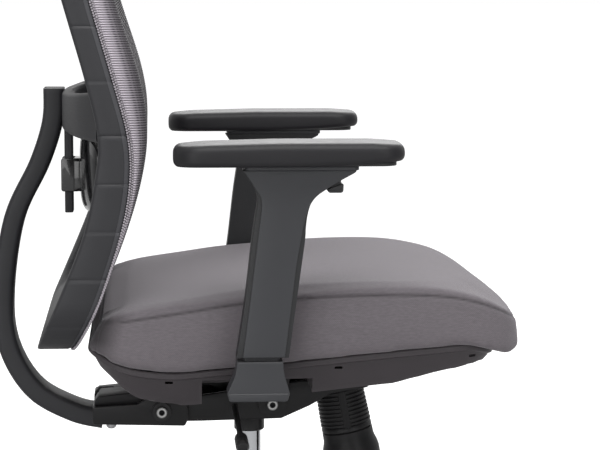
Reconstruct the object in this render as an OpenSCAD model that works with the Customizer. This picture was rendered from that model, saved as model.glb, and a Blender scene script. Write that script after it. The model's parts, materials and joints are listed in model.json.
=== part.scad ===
// Office task chair with a mesh back, T armrests, a synchro tilt and a five-spoke base.
// +X is forward, +Y is the sitter's left, +Z is up.
// The origin is on the floor, under the axis of the gas column.

/* [Base and casters] */
// Distance from the column axis to each caster stem
base_reach = 305; // [290:1:320]
// Radius of the hub of the star base
hub_r = 34; // [32:1:38]
// Radius of each caster wheel
wheel_r = 27.5; // [26:0.5:28]
// Distance from the caster stem to the wheel axle
caster_trail = 20; // [18:0.5:22]
// Angle of the first spoke, from straight ahead
spoke_start = 36; // [0:1:72]

/* [Gas column] */
// Radius of the chromed gas cylinder
gas_r = 14; // [13.5:0.1:14.5]
// Outer radius of the lower column tube
outer_tube_r = 25; // [24:0.5:26]
// Height of the top of the lower column tube
outer_tube_top = 255; // [240:1:262]

/* [Mechanism] */
// Half width of the mechanism housing
housing_half_w = 61; // [60:0.5:61.5]
// Radius of the two main axles
axle_r = 5; // [4:0.5:6]
// Tilt of the tension knob's axis, lower end forward
knob_tilt = 11; // [8:1:13]
// Radius of the tension knob's collar
knob_r = 31; // [30:0.5:33]

/* [Seat] */
// Half width of the cushion
cushion_half_w = 250; // [240:1:255]
// Half width of the seat pan's rim
pan_half_w = 238; // [230:1:240]
// How far the front of the cushion bows forward at its middle
cushion_bow = 24; // [10:1:30]

/* [Armrests] */
// Distance from the middle of the chair to the middle of each armrest
arm_y = 285; // [283:1:295]
// Forward lean of the armrest posts
arm_lean = 8.13; // [8:0.01:8.3]
// Length of an arm pad
pad_l = 250; // [230:1:260]
// Width of an arm pad
pad_w = 86; // [76:1:92]

/* [Back] */
// Half width of the back frame
frame_half_w = 240; // [238:1:245]
// Half width of the back frame at its top
frame_top_half_w = 214; // [200:1:225]
// Height of the top of the back frame
frame_top = 1092; // [1060:1:1100]
// Width of the rail of the back frame, seen from the front
rail_w = 30; // [26:1:34]

/* [Hidden] */
$fn = 64;
fit = 0.05;

plastic = [0.16, 0.16, 0.17];
steel = [0.75, 0.76, 0.78];
far = 1000;

// ---- Helpers -------------------------------------------------------------------------------

function unit(v) = v / norm(v);
function turned(v, a) = [v.x * cos(a) - v.y * sin(a), v.x * sin(a) + v.y * cos(a)];

// The arc that rounds the corner b, between its neighbours a and c
function fillet(a, b, c, r, n) =
    let (u = unit(a - b), w = unit(c - b), half = acos(u * w) / 2)
    let (centre = b + unit(u + w) * r / sin(half))
    let (from = b + u * r / tan(half) - centre, to = b + w * r / tan(half) - centre)
    let (sweep = (180 - 2 * half) * sign(from.x * to.y - from.y * to.x))
    [for (i = [0:n]) centre + turned(from, sweep * i / n)];

// The outline p with its corners rounded to the radii r
function rounded(p, r, n = 6) =
    let (m = len(p))
    [for (i = [0:m - 1]) each r[i] > 0 ? fillet(p[(i + m - 1) % m], p[i], p[(i + 1) % m], r[i], n) : [p[i]]];

// A smooth curve through the points p, with n steps between two points
function blend4(a, b, c, d, t) =
    0.5 * (2 * b + (c - a) * t + (2 * a - 5 * b + 4 * c - d) * t ^ 2 + (3 * b - a - 3 * c + d) * t ^ 3);
function smooth(p, n = 4) =
    let (m = len(p) - 1)
    [
        for (i = [0:m - 1], j = [0:n - 1])
            blend4(p[max(i - 1, 0)], p[i], p[i + 1], p[min(i + 2, m)], j / n),
        p[m]
    ];

// The outline of a strip of thickness t along the curve c
function side_of(c, i, d) =
    let (ahead = c[min(i + 1, len(c) - 1)], behind = c[max(i - 1, 0)])
    c[i] + turned(unit(ahead - behind), 90) * d;
function strip(c, t) = concat(
    [for (i = [0:len(c) - 1]) side_of(c, i, t / 2)],
    [for (i = [len(c) - 1:-1:0]) side_of(c, i, -t / 2)]
);
function reversed(p) = [for (i = [len(p) - 1:-1:0]) p[i]];
function shifted(p, d) = [for (q = p) q + d];

// An outline drawn in X and Z, and given the width from y0 to y1
module side_shape(outline, y0, y1) {
    translate([0, y1, 0]) rotate([90, 0, 0]) linear_extrude(y1 - y0) polygon(outline);
}

// An outline drawn in Y and Z, and given the depth from x0 to x1
module front_shape(outline, x0, x1) {
    translate([x0, 0, 0]) rotate([90, 0, 90]) linear_extrude(x1 - x0) polygon(outline);
}

// An outline drawn in X and Y, from z0 to z1
module plan_shape(outline, z0, z1) {
    translate([0, 0, z0]) linear_extrude(z1 - z0) polygon(outline);
}

// A cuboid from its lowest corner to its highest
module block(low, high) {
    translate(low) cube(high - low);
}

// A rod along Y, from y0 to y1, through [x, z]
module cross_rod(at, r, y0, y1) {
    translate([at.x, y1, at.y]) rotate([90, 0, 0]) cylinder(r = r, h = y1 - y0);
}

module post(x, y, z0, z1, r) {
    translate([x, y, z0]) cylinder(r = r, h = z1 - z0);
}

// The right side is drawn, and the left side is its mirror image
module for_side(side) {
    if (side == "R") children();
    if (side == "L") mirror([0, 1, 0]) children();
}

module on_both_sides() {
    children();
    mirror([0, 1, 0]) children();
}

// ---- Base and casters ----------------------------------------------------------------------

spoke_count = 5;
boss_r = 15;
stem_r = 5.5;
stem_low_r = 4;
hood_top = 56;
stem_foot = 34;
spoke_side = rounded(
    [[20, 64], [20, 114], [60, 112], [290, 82], [320, 80], [320, 60], [290, 60]],
    [0, 0, 30, 60, 8, 6, 60]
);
spoke_plan = [[0, -27], [60, -25], [320, -14], [320, 14], [60, 25], [0, 27]];
function stem_at(i) = base_reach * [cos(spoke_start + 72 * i), sin(spoke_start + 72 * i), 0];

module spoke() {
    intersection() {
        side_shape(spoke_side, -40, 40);
        plan_shape(spoke_plan, 50, 130);
    }
}

module star_base() {
    color(plastic) difference() {
        union() {
            post(0, 0, 60, 118, hub_r);
            for (i = [0:spoke_count - 1]) {
                rotate(spoke_start + 72 * i) spoke();
                translate(stem_at(i)) post(0, 0, 59.5, 82, boss_r);
            }
        }
        post(0, 0, 50, 130, outer_tube_r);
        for (i = [0:spoke_count - 1]) translate(stem_at(i)) post(0, 0, 50, 76, stem_r);
    }
}

module caster_stems() {
    color(steel) for (i = [0:spoke_count - 1]) {
        translate(stem_at(i)) {
            post(0, 0, 57, 76, stem_r);
            post(0, 0, stem_foot, 58, stem_low_r);
        }
    }
}

web_half = 7.2;
wheel_in = 7.8;
wheel_out = 21.8;
caster_axle_r = 3;
hood_in = wheel_r + 1.5;
hood_out = wheel_r + 4;

module caster_hood(i) {
    axle = [-caster_trail, wheel_r];
    color(plastic) translate(stem_at(i)) difference() {
        union() {
            post(0, 0, 24, hood_top, web_half);
            difference() {
                cross_rod(axle, hood_out, -wheel_out, wheel_out);
                cross_rod(axle, hood_in, -wheel_out - 1, wheel_out + 1);
                block([-100, -40, -20], [100, 40, 33]);
            }
            intersection() {
                cross_rod(axle, hood_out - 1, -web_half, web_half);
                block([-100, -40, 15], [100, 40, 80]);
            }
        }
        post(0, 0, stem_foot - 1, 90, stem_low_r + fit);
        cross_rod(axle, caster_axle_r + fit, -30, 30);
    }
}

module caster_wheels(i) {
    tread = rounded(
        [[caster_axle_r, wheel_in], [wheel_r, wheel_in], [wheel_r, wheel_out], [caster_axle_r, wheel_out]],
        [0, 2, 4, 0]
    );
    color([0.1, 0.1, 0.1]) translate(stem_at(i) + [-caster_trail, 0, wheel_r]) {
        rotate([90, 0, 0]) {
            rotate_extrude() polygon(tread);
            mirror([0, 0, 1]) rotate_extrude() polygon(tread);
            cylinder(r = caster_axle_r, h = 2 * wheel_out, center = true);
        }
    }
}

// ---- Gas column ----------------------------------------------------------------------------

bearing_z = 70;
rod_r = 5;
piston_z = 198;
gas_bottom = 108;
gas_top = 345;
chamber_top = 325;
pin_r = 3;
pin_top = 350;
tube_wall = 3;

module gas_outer_tube() {
    color([0.08, 0.08, 0.09]) difference() {
        post(0, 0, 60, outer_tube_top, outer_tube_r);
        post(0, 0, bearing_z, 300, outer_tube_r - tube_wall);
        post(0, 0, 50, 80, rod_r + fit);
    }
}

module column_bushing() {
    color([0.2, 0.2, 0.2]) difference() {
        post(0, 0, 205, outer_tube_top - 2, outer_tube_r - tube_wall);
        post(0, 0, 190, 300, gas_r + fit);
    }
}

module piston_rod() {
    color(steel) {
        post(0, 0, 62, piston_z + 12, rod_r);
        post(0, 0, piston_z, piston_z + 12, gas_r - 2 - fit);
    }
}

module thrust_bearing() {
    color(steel) difference() {
        post(0, 0, bearing_z + 0.3, bearing_z + 6, 16);
        post(0, 0, 60, 90, rod_r);
    }
}

module gas_cylinder() {
    color([0.85, 0.86, 0.88]) difference() {
        post(0, 0, gas_bottom, gas_top, gas_r);
        post(0, 0, gas_bottom + 10, chamber_top, gas_r - 2);
        post(0, 0, 90, 130, rod_r + fit);
        post(0, 0, 300, 400, pin_r + fit);
    }
}

module valve_pin() {
    color(steel) post(0, 0, 330, pin_top, pin_r);
}

// ---- Mechanism -----------------------------------------------------------------------------

recline_axle = [-107.5, 331.6];
seat_axle = [25, 338.8];
lever_at = [-20, 335];
lock_at = [-52, 335];
housing_outline = rounded(
    [[-122, 318], [-60, 318], [36, 320], [70, 335], [95, 349], [142, 357], [142, 366], [60, 366],
     [-60, 350], [-122, 346]],
    [12, 0, 12, 0, 14, 4, 3, 10, 10, 12]
);
housing_cavity = [
    [-117, 323], [-60, 322.5], [36, 324.5], [70, 339.5], [95, 353.5], [137, 361], [137, 420], [-117, 420]
];
collar_r = 18;
collar_bottom = 296;
cup_head = [110, 350];
cup_l = 55;
cup_bore = 25;
bolt_r = 4;
rib_pitch = 5;

// Puts its children on the axis of the tension knob, with +Z running down it
module on_knob_axis() {
    translate([cup_head.x, 0, cup_head.y]) rotate([0, 180 - knob_tilt, 0]) children();
}

module mech_housing() {
    color([0.11, 0.1, 0.11]) difference() {
        union() {
            difference() {
                side_shape(housing_outline, -housing_half_w, housing_half_w);
                side_shape(housing_cavity, -housing_half_w + 4, housing_half_w - 4);
            }
            post(0, 0, collar_bottom, gas_top, collar_r);
        }
        post(0, 0, 290, 400, gas_r);
        cross_rod(recline_axle, axle_r, -far, far);
        cross_rod(seat_axle, axle_r, -far, far);
        cross_rod(lever_at, 6, -80, -50);
        cross_rod(lock_at, 3.4 + fit, 50, 80);
        on_knob_axis() translate([0, 0, -20]) cylinder(r = bolt_r + 2, h = 30);
    }
}

module headed_axle(at, reach) {
    cross_rod(at, axle_r, -reach - 1, reach + 1);
    on_both_sides() difference() {
        cross_rod(at, 6.5, reach, reach + 5.5);
        cross_rod(at, 3, reach + 2.5, reach + 10);
    }
}

module front_axle() {
    color(steel) headed_axle(seat_axle, 68.5);
}

module rear_axle() {
    color(steel) headed_axle(recline_axle, 71.5);
}

module spring_cup() {
    ribs = [for (i = [0:8], q = [[29.6, 0], [29.6, 2.6], [28, 3.2], [28, 4.4]]) [q.x + 0.16 * i, 5 + rib_pitch * i + q.y]];
    outline = concat([[0, -14], [29.4, -14]], ribs, [[knob_r - 0.2, 51], [knob_r - 0.2, cup_l], [0, cup_l]]);
    color(plastic) difference() {
        on_knob_axis() difference() {
            rotate_extrude() polygon(outline);
            translate([0, 0, -20]) cylinder(r = cup_bore, h = cup_l + 16);
            cylinder(r = bolt_r, h = 80);
        }
        side_shape(housing_outline, -far, far);
        block([-200, -far, 357], [300, far, 420]);
    }
}

module tension_spring() {
    color(steel) on_knob_axis() rotate_extrude() {
        for (i = [0:8]) translate([20, 8 + 4.8 * i]) circle(r = 2.5, $fn = 24);
    }
}

module spring_bolt() {
    color(steel) on_knob_axis() {
        translate([0, 0, -6]) cylinder(r = bolt_r, h = 88);
        translate([0, 0, 46]) cylinder(r = 11, h = 4.9);
    }
}

module tension_knob() {
    side = rounded(
        [[0, cup_l + 0.5], [knob_r, cup_l + 0.5], [knob_r, cup_l + 14], [knob_r + 4, cup_l + 24],
         [knob_r + 4, cup_l + 40], [knob_r - 3, cup_l + 46], [0, cup_l + 46]],
        [0, 2, 10, 10, 6, 8, 0]
    );
    color(plastic) on_knob_axis() difference() {
        rotate_extrude() polygon(side);
        cylinder(r = bolt_r + fit, h = 83);
    }
}

module height_lever() {
    finger = rounded([[-25, -34], [-15, -34], [5, -5], [5, 5], [-5, 5], [-25, -24]], [2, 2, 2, 2, 2, 2]);
    color(steel) {
        cross_rod(lever_at, 3.4, -250, -25);
        post(lever_at.x, -30, lever_at.y, pin_top + 2, 2.6);
        plan_shape(finger, pin_top + 0.3, pin_top + 4);
    }
}

module height_grip() {
    side = rounded([[3.4, 0], [6, 0], [7.5, 14], [7.5, 58], [5, 66], [0, 66], [0, 15], [3.4, 15]],
        [0, 2, 10, 4, 3, 0, 0, 0]);
    color(plastic) translate([lever_at.x, -235, lever_at.y]) rotate([90, 0, 0]) rotate_extrude() polygon(side);
}

module lock_lever() {
    color(steel) {
        cross_rod(lock_at, 3.4, 45, 250);
        side_shape(rounded([[-60, 326], [-44, 326], [-44, 341], [-60, 341]], [3, 3, 3, 3]), 45, 52);
    }
}

module lock_grip() {
    paddle = rounded([[-63, 332], [-41, 332], [-41, 340], [-63, 340]], [3.5, 3.5, 3.5, 3.5]);
    color(plastic) difference() {
        side_shape(paddle, 232, 300);
        cross_rod(lock_at, 3.4, 200, 250);
    }
}

// ---- Back ----------------------------------------------------------------------------------

plate_in = 63;
plate_out = 69;
link_at = [-176, 339.5];
link_r = 3;
spine_half_w = 28;
spine_curve = smooth([[-178, 315], [-215, 324], [-262, 352], [-292, 405], [-297, 470], [-283, 560],
    [-252, 626], [-236, 676], [-234, 716]]);

// Front face of the mesh, the line where it meets the frame's flank, and the rear of the frame
mesh_line = smooth([[-206, 425], [-176, 490], [-147, 563], [-129, 624], [-122.5, 677], [-130, 735],
    [-157.6, 824], [-194, 950], [-236, 1094]]);
rear_line = smooth([[-254, 423], [-223, 490], [-194.5, 562], [-180.5, 627], [-177.5, 673], [-191, 735],
    [-216, 824], [-250, 950], [-290, 1094]]);
mesh_t = 3.5;
frame_bottom = 427;
frame_outline = rounded(
    [[-frame_half_w, frame_bottom], [frame_half_w, frame_bottom], [frame_half_w, 860],
     [frame_top_half_w, frame_top], [-frame_top_half_w, frame_top], [-frame_half_w, 860]],
    [60, 60, 400, 90, 90, 400]
);
inner_w = frame_half_w - rail_w;
inner_top_w = frame_top_half_w - rail_w;
frame_opening = rounded(
    [[-inner_w, frame_bottom + rail_w], [inner_w, frame_bottom + rail_w], [inner_w, 860],
     [inner_top_w, frame_top - rail_w], [-inner_top_w, frame_top - rail_w], [-inner_w, 860]],
    [32, 32, 360, 62, 62, 360]
);

module back_carrier() {
    plate = rounded(
        [[-190, 317], [-80, 314], [-76, 322], [-76, 338], [-96, 351], [-120, 351], [-136, 341], [-190, 338]],
        [3, 3, 4, 6, 5, 5, 8, 3]
    );
    lug = rounded([[-187, 330], [-163, 330], [-163, 346.5], [-187, 346.5]], [0, 0, 5, 5]);
    window = rounded([[-181, 334.5], [-168, 334.5], [-168, 343.5], [-181, 343.5]], [3, 3, 3, 3]);
    color([0.11, 0.1, 0.11]) difference() {
        union() {
            on_both_sides() {
                side_shape(plate, plate_in, plate_out);
                cross_rod(recline_axle, 12, plate_out, plate_out + 2);
                side_shape(lug, 22, 28);
            }
            block([-190, -plate_in, 317], [-136, plate_in, 338]);
        }
        block([-200, -20, 331], [-130, 20, 360]);
        side_shape(window, -29.6, 29.6);
        cross_rod(recline_axle, axle_r + fit, -far, far);
        side_shape(strip(spine_curve, 24), -spine_half_w, spine_half_w);
    }
}

module spine_clamp() {
    wedge = [[-188, 338], [-188, 343], [-184, 349.5], [-142, 353.5], [-121, 349], [-136, 341], [-138, 338]];
    color([0.1, 0.1, 0.11]) on_both_sides() side_shape(wedge, 30, 62);
}

module bumper_bolts() {
    color(steel) on_both_sides() {
        post(-168, 50, 311, 317, 6);
        post(-168, 50, 309, 311, 4);
    }
}

module back_spine() {
    color(plastic) side_shape(strip(spine_curve, 24), -spine_half_w, spine_half_w);
}

module back_crossbar() {
    half = smooth([[-170, inner_w], [-196, 160], [-212, 80], [-217, 0]]);
    bar = concat(half, [for (i = [len(half) - 2:-1:0]) [half[i].x, -half[i].y]]);
    color(plastic) difference() {
        intersection() {
            plan_shape(strip(bar, 18), 668, 714);
            block([-400, -inner_w, 600], [0, inner_w, 800]);
        }
        side_shape(strip(spine_curve, 24), -spine_half_w, spine_half_w);
    }
}

module lumbar_rail() {
    color(plastic) block([-222, -14, 566], [-212, 14, 668]);
}

module back_frame() {
    band = concat(rear_line, reversed(shifted(mesh_line, [-mesh_t, 0])));
    color([0.24, 0.24, 0.26]) intersection() {
        side_shape(band, -frame_half_w - 5, frame_half_w + 5);
        difference() {
            front_shape(frame_outline, -400, 0);
            front_shape(frame_opening, -410, 10);
        }
    }
}

module back_mesh() {
    band = concat(shifted(mesh_line, [-mesh_t, 0]), reversed(mesh_line));
    color([0.7, 0.68, 0.7]) intersection() {
        side_shape(band, -frame_half_w - 5, frame_half_w + 5);
        front_shape(frame_outline, -400, 0);
    }
}

module lumbar_pad() {
    curve = smooth([[-178, -112], [-189, -56], [-193, 0], [-189, 56], [-178, 112]]);
    face = rounded([[-112, 570], [112, 570], [112, 670], [-112, 670]], [30, 30, 30, 30]);
    color([0.05, 0.05, 0.06]) {
        intersection() {
            plan_shape(strip(curve, 22), 560, 680);
            front_shape(face, -300, -100);
        }
        block([-211, -20, 592], [-200, 20, 632]);
        on_both_sides() block([-226, 14.5, 592], [-204, 20, 632]);
    }
}

// ---- Seat ----------------------------------------------------------------------------------

rim_curve = smooth([[-190, 435], [-164, 421], [-138, 413], [-107, 409.2], [-77, 409.4], [28, 419],
    [119, 427.6], [184, 433.5], [227, 437]]);
recess_z = 375;
screw_r = 3;
pan_front = [[246, 436], [270, 428.5]];

// The flat outline of the cushion and the pan: straight sides, round corners, bowed front
function seat_plan(half_w, rear, front, bow, corner) = rounded(
    [[front, -half_w], [rear, -half_w], [rear, half_w], [front, half_w], [front + bow, 0]],
    [58, corner, corner, 58, 1200], 8
);

module seat_plate() {
    plan = rounded(
        [[-118, -57], [0, -57], [2, -68], [48, -68], [50, -57], [128, -57],
         [128, 57], [50, 57], [48, 68], [2, 68], [0, 57], [-118, 57]],
        [6, 0, 2, 2, 0, 8, 8, 0, 2, 2, 0, 6]
    );
    ear = rounded([[10, 325], [40, 325], [46, 371], [4, 371]], [13, 13, 0, 0]);
    tongue = rounded(
        [[-110, 374.5], [-126, 374.5], [-139, 353], [-152, 347], [-184, 345.3], [-184, 333.5], [-164, 335.5],
         [-151, 340.5], [-137.5, 346.5], [-125, 370.5], [-110, 370.5]],
        [0, 4, 4, 4, 4.5, 4.5, 4, 4, 4, 4, 0]
    );
    color([0.12, 0.12, 0.13]) difference() {
        union() {
            plan_shape(plan, 370, recess_z);
            on_both_sides() side_shape(ear, plate_in, 68);
            side_shape(tongue, -18, 18);
        }
        cross_rod(seat_axle, axle_r + fit, -far, far);
        cross_rod(link_at, link_r, -far, far);
        post(0, 0, 350, 400, 12);
        seat_screw_holes();
    }
}

module link_pin() {
    color(steel) cross_rod(link_at, link_r, -29.2, 29.2);
}

module seat_pan() {
    under = [[-189, 424], [-166, 401.6], [-141, 379.4], [-95, 369.5], [-60, 368.5], [130, 387.7],
        [200, 402.5], [245, 411.5], [276, 416]];
    outline = concat(under, reversed(concat(rim_curve, pan_front, [[277, 421]])));
    end = [[-pan_half_w, 440], [-pan_half_w, 424], [-pan_half_w + 14, 404], [-pan_half_w + 50, 366],
        [pan_half_w - 50, 366], [pan_half_w - 14, 404], [pan_half_w, 424], [pan_half_w, 440]];
    color([0.2, 0.2, 0.22]) difference() {
        union() {
            difference() {
                intersection() {
                    side_shape(outline, -pan_half_w, pan_half_w);
                    front_shape(end, -200, 300);
                    plan_shape(seat_plan(pan_half_w, -189, 268, 8, 50), 360, 445);
                }
                side_shape(board_outline(), -board_half_w, board_half_w);
                block([-200, -80, 350], [145, 80, recess_z]);
                on_both_sides() block([-62, 96, 350], [60, far, 398]);
                hollow();
            }
            for (y = [-40, 40]) post(105, y, recess_z, 402, 9);
        }
        seat_screw_holes();
    }
}

board_half_w = 196;
function board_outline() =
    let (top = [for (q = rim_curve) if (q.x > -150 && q.x < 222) q])
    concat(top, reversed(shifted(top, [0, -11])));

// The space between the pan's floor and the board, in two halves
module hollow() {
    on_both_sides() {
        block([70, 90, 396], [190, 180, 413]);
        block([-130, 90, 384], [-68, 176, 398]);
    }
    block([-110, -76, recess_z + 4], [120, 76, 398]);
}

module seat_board() {
    color([0.72, 0.6, 0.42]) side_shape(board_outline(), -board_half_w, board_half_w);
}

module seat_cushion() {
    top = smooth([[-176, 474], [-88, 487], [-19, 497], [90, 505], [186, 505], [236, 499], [272, 487],
        [306, 467]]);
    outline = concat(top, [[322, 454], [320, 440], [306, 427], [284, 423.5], [270, 428.5], [246, 436]],
        reversed(rim_curve));
    color([0.47, 0.45, 0.47]) intersection() {
        side_shape(outline, -far, far);
        plan_shape(seat_plan(cushion_half_w, -190, 300, cushion_bow, 45), 380, 540);
    }
}

module seat_screws() {
    color(steel) for (x = [-80, 105], y = [-40, 40]) {
        post(x, y, 365.8, 370, 6.5);
        post(x, y, 369, 392, screw_r);
    }
}

module seat_screw_holes() {
    for (x = [-80, 105], y = [-40, 40]) post(x, y, 366, 394, screw_r + fit);
}

// ---- Armrests ------------------------------------------------------------------------------

arm_in = arm_y - 17;
arm_out = arm_y + 14;
post_foot = [1, 429];
pad_pivot_x = 40;
carrier_z = 640.5;
pad_base_z = 645.5;
pad_z = 650.5;
pad_top = 670;
arm_bar_z = 388;

module arm_bracket(side) {
    socket = rounded([[-26, 429], [-29.5, 416], [-36, 395], [-33.5, 387.5], [28, 387.5], [31, 395], [26.5, 416],
        [24, 429]], [2, 14, 4, 4, 4, 4, 14, 2]);
    color([0.25, 0.25, 0.27]) for_side(side) {
        side_shape(socket, -arm_out, -arm_in);
        block([-28, -arm_in - 1, arm_bar_z], [22, -100, 398]);
    }
}

module arm_post(side) {
    section = rounded([[-20, -9], [20, -9], [20, 9], [-20, 9]], [4, 4, 4, 4]);
    color([0.15, 0.15, 0.16]) for_side(side) intersection() {
        translate([post_foot.x, -arm_y + 1.5, post_foot.y]) rotate([0, arm_lean, 0])
            translate([0, 0, -10]) linear_extrude(180) polygon(section);
        block([-far, -far, post_foot.y], [far, far, far]);
    }
}

module arm_sleeve(side) {
    rear = smooth([[-27, 434], [-4.5, 591], [2, 609], [-6, 625], [-16.5, 637]]);
    front = smooth([[111, 637], [91, 629], [72, 622], [60, 609], [52, 590], [29.9, 434]]);
    section = rounded([[-20.8, -9.8], [20.8, -9.8], [20.8, 9.8], [-20.8, 9.8]], [4.5, 4.5, 4.5, 4.5]);
    color([0.25, 0.26, 0.27]) for_side(side) difference() {
        union() {
            side_shape(concat(rear, [[-16.5, 640], [111, 640]], front), -arm_out, -arm_in);
            block([-14, -arm_y - 34, 635], [108, -arm_y + 34, 640]);
        }
        translate([post_foot.x, -arm_y + 1.5, post_foot.y]) rotate([0, arm_lean, 0])
            translate([0, 0, -20]) linear_extrude(204) polygon(section);
        block([76, -arm_y - 7, 600], [89, -arm_y + 7, 638]);
    }
}

module arm_button(side) {
    lip = [[73.5, 615], [91, 615], [91, 625], [73.5, 618.5]];
    color([0.1, 0.1, 0.11]) for_side(side) {
        side_shape(rounded(lip, [2, 2, 1, 1]), -arm_y - 11, -arm_y + 11);
        block([76.6, -arm_y - 6.4, 616], [88.4, -arm_y + 6.4, 633]);
    }
}

module pad_carrier(side) {
    plan = rounded(
        [[-11, -arm_y - 30], [104, -arm_y - 36], [104, -arm_y + 36], [-11, -arm_y + 30]], [8, 8, 8, 8]
    );
    color([0.1, 0.1, 0.11]) for_side(side) plan_shape(plan, carrier_z, pad_base_z - 0.5);
}

// The outline of an arm pad, drawn back by d all round
function pad_plan(d) =
    let (rear = pad_pivot_x - pad_l / 2 - 8 + d, front = pad_pivot_x + pad_l / 2 - 8 - d)
    let (w = pad_w / 2 - d)
    rounded([[rear, -arm_y - w + 6], [front, -arm_y - w], [front, -arm_y + w], [rear, -arm_y + w - 6]],
        [26, 30, 30, 26], 8);

module pad_base(side) {
    color([0.12, 0.12, 0.13]) for_side(side) plan_shape(pad_plan(7), pad_base_z, pad_z);
}

module arm_pad(side) {
    side_face = rounded([[-96, pad_z], [160, pad_z], [160, pad_top], [-96, pad_top - 3]], [5, 6, 10, 9]);
    end_face = rounded(
        [[-arm_y - pad_w / 2, pad_z], [-arm_y + pad_w / 2, pad_z], [-arm_y + pad_w / 2, pad_top],
         [-arm_y - pad_w / 2, pad_top]],
        [5, 5, 10, 10]
    );
    color([0.17, 0.17, 0.18]) for_side(side) intersection() {
        plan_shape(pad_plan(0), pad_z, pad_top);
        side_shape(side_face, -far, 0);
        front_shape(end_face, -200, 300);
    }
}

module arm_bolts() {
    color(steel) on_both_sides() for (y = [120, 170]) {
        post(-3, y, arm_bar_z - 5, arm_bar_z, 6);
    }
}

// ---- Nodes ---------------------------------------------------------------------------------

star_base();
gas_outer_tube();
column_bushing();
caster_stems();
caster_hood(0);  // caster_hood_1
caster_hood(1);  // caster_hood_2
caster_hood(2);  // caster_hood_3
caster_hood(3);  // caster_hood_4
caster_hood(4);  // caster_hood_5
caster_wheels(0);  // caster_wheels_1
caster_wheels(1);  // caster_wheels_2
caster_wheels(2);  // caster_wheels_3
caster_wheels(3);  // caster_wheels_4
caster_wheels(4);  // caster_wheels_5
piston_rod();
thrust_bearing();
gas_cylinder();
valve_pin();
mech_housing();
front_axle();
rear_axle();
spring_cup();
tension_spring();
spring_bolt();
tension_knob();
height_lever();
height_grip();
lock_lever();
lock_grip();
back_carrier();
spine_clamp();
bumper_bolts();
back_spine();
back_crossbar();
lumbar_rail();
back_frame();
back_mesh();
lumbar_pad();
seat_plate();
link_pin();
seat_pan();
seat_board();
seat_cushion();
seat_screws();
arm_bracket("R");  // arm_bracket_R
arm_bracket("L");  // arm_bracket_L
arm_post("R");  // arm_post_R
arm_post("L");  // arm_post_L
arm_bolts();
arm_sleeve("R");  // arm_sleeve_R
arm_sleeve("L");  // arm_sleeve_L
arm_button("R");  // arm_button_R
arm_button("L");  // arm_button_L
pad_carrier("R");  // pad_carrier_R
pad_carrier("L");  // pad_carrier_L
arm_pad("R");  // arm_pad_R
arm_pad("L");  // arm_pad_L
pad_base("R");  // pad_base_R
pad_base("L");  // pad_base_L
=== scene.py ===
"""The looks of a mesh-back task chair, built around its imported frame.

Lengths are in millimetres in the outlines and in metres in the scene. +X is forward, +Y is the
sitter's left and +Z is up, with the origin on the floor under the gas column.
"""

import json
import math

import bpy
import numpy as np
from bpy.props import FloatProperty, FloatVectorProperty, IntProperty, PointerProperty
from mathutils import Matrix, Vector


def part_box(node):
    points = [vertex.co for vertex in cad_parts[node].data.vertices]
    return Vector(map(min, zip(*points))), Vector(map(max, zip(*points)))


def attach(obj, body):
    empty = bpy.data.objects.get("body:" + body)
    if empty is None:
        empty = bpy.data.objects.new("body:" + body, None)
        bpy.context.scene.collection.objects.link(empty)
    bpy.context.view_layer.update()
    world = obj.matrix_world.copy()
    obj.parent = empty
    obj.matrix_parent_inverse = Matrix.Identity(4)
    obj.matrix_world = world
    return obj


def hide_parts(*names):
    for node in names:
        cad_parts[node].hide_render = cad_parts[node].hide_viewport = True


bl_info = {
    "name": "Mesh-back task chair",
    "version": (1, 0, 0),
    "blender": (4, 5, 0),
    "location": "3D View > Sidebar > Chair",
    "description": "Builds the visible pieces of a mesh-back task chair",
    "category": "Object",
}

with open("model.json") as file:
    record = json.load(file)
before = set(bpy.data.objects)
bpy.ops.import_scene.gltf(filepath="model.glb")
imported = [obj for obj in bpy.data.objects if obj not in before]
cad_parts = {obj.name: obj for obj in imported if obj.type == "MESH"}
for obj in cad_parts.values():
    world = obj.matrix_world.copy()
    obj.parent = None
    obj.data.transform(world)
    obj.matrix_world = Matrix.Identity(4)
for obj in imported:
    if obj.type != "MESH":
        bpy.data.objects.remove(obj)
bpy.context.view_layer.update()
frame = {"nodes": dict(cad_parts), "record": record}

MM = 0.001
FULL_TURN = 2 * math.pi
ACROSS = {"X": Vector((1, 0, 0)), "Y": Vector((0, 1, 0)), "Z": Vector((0, 0, 1))}


# ---- Outlines and curves, in millimetres ----------------------------------------------------


def rounded(points, radii, steps=6):
    """The closed outline with its corners rounded to the radii."""
    outline = []
    for i, (corner, radius) in enumerate(zip(points, radii)):
        b = Vector(corner)
        if radius <= 0:
            outline.append(b)
            continue
        u = (Vector(points[i - 1]) - b).normalized()
        w = (Vector(points[(i + 1) % len(points)]) - b).normalized()
        half = u.angle(w) / 2
        centre = b + (u + w).normalized() * radius / math.sin(half)
        start = b + u * radius / math.tan(half) - centre
        end = b + w * radius / math.tan(half) - centre
        sweep = start.angle_signed(end)
        for k in range(steps + 1):
            turn = Matrix.Rotation(-sweep * k / steps, 2)
            outline.append(centre + turn @ start)
    return outline


def smooth(points, steps=4):
    """A smooth curve through the points."""
    p = [Vector(q) for q in points]
    curve = []
    for i in range(len(p) - 1):
        a, b, c, d = p[max(i - 1, 0)], p[i], p[i + 1], p[min(i + 2, len(p) - 1)]
        for k in range(steps):
            t = k / steps
            curve.append(
                0.5
                * (2 * b + (c - a) * t + (2 * a - 5 * b + 4 * c - d) * t**2 + (3 * b - a - 3 * c + d) * t**3)
            )
    return curve + [p[-1]]


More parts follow.
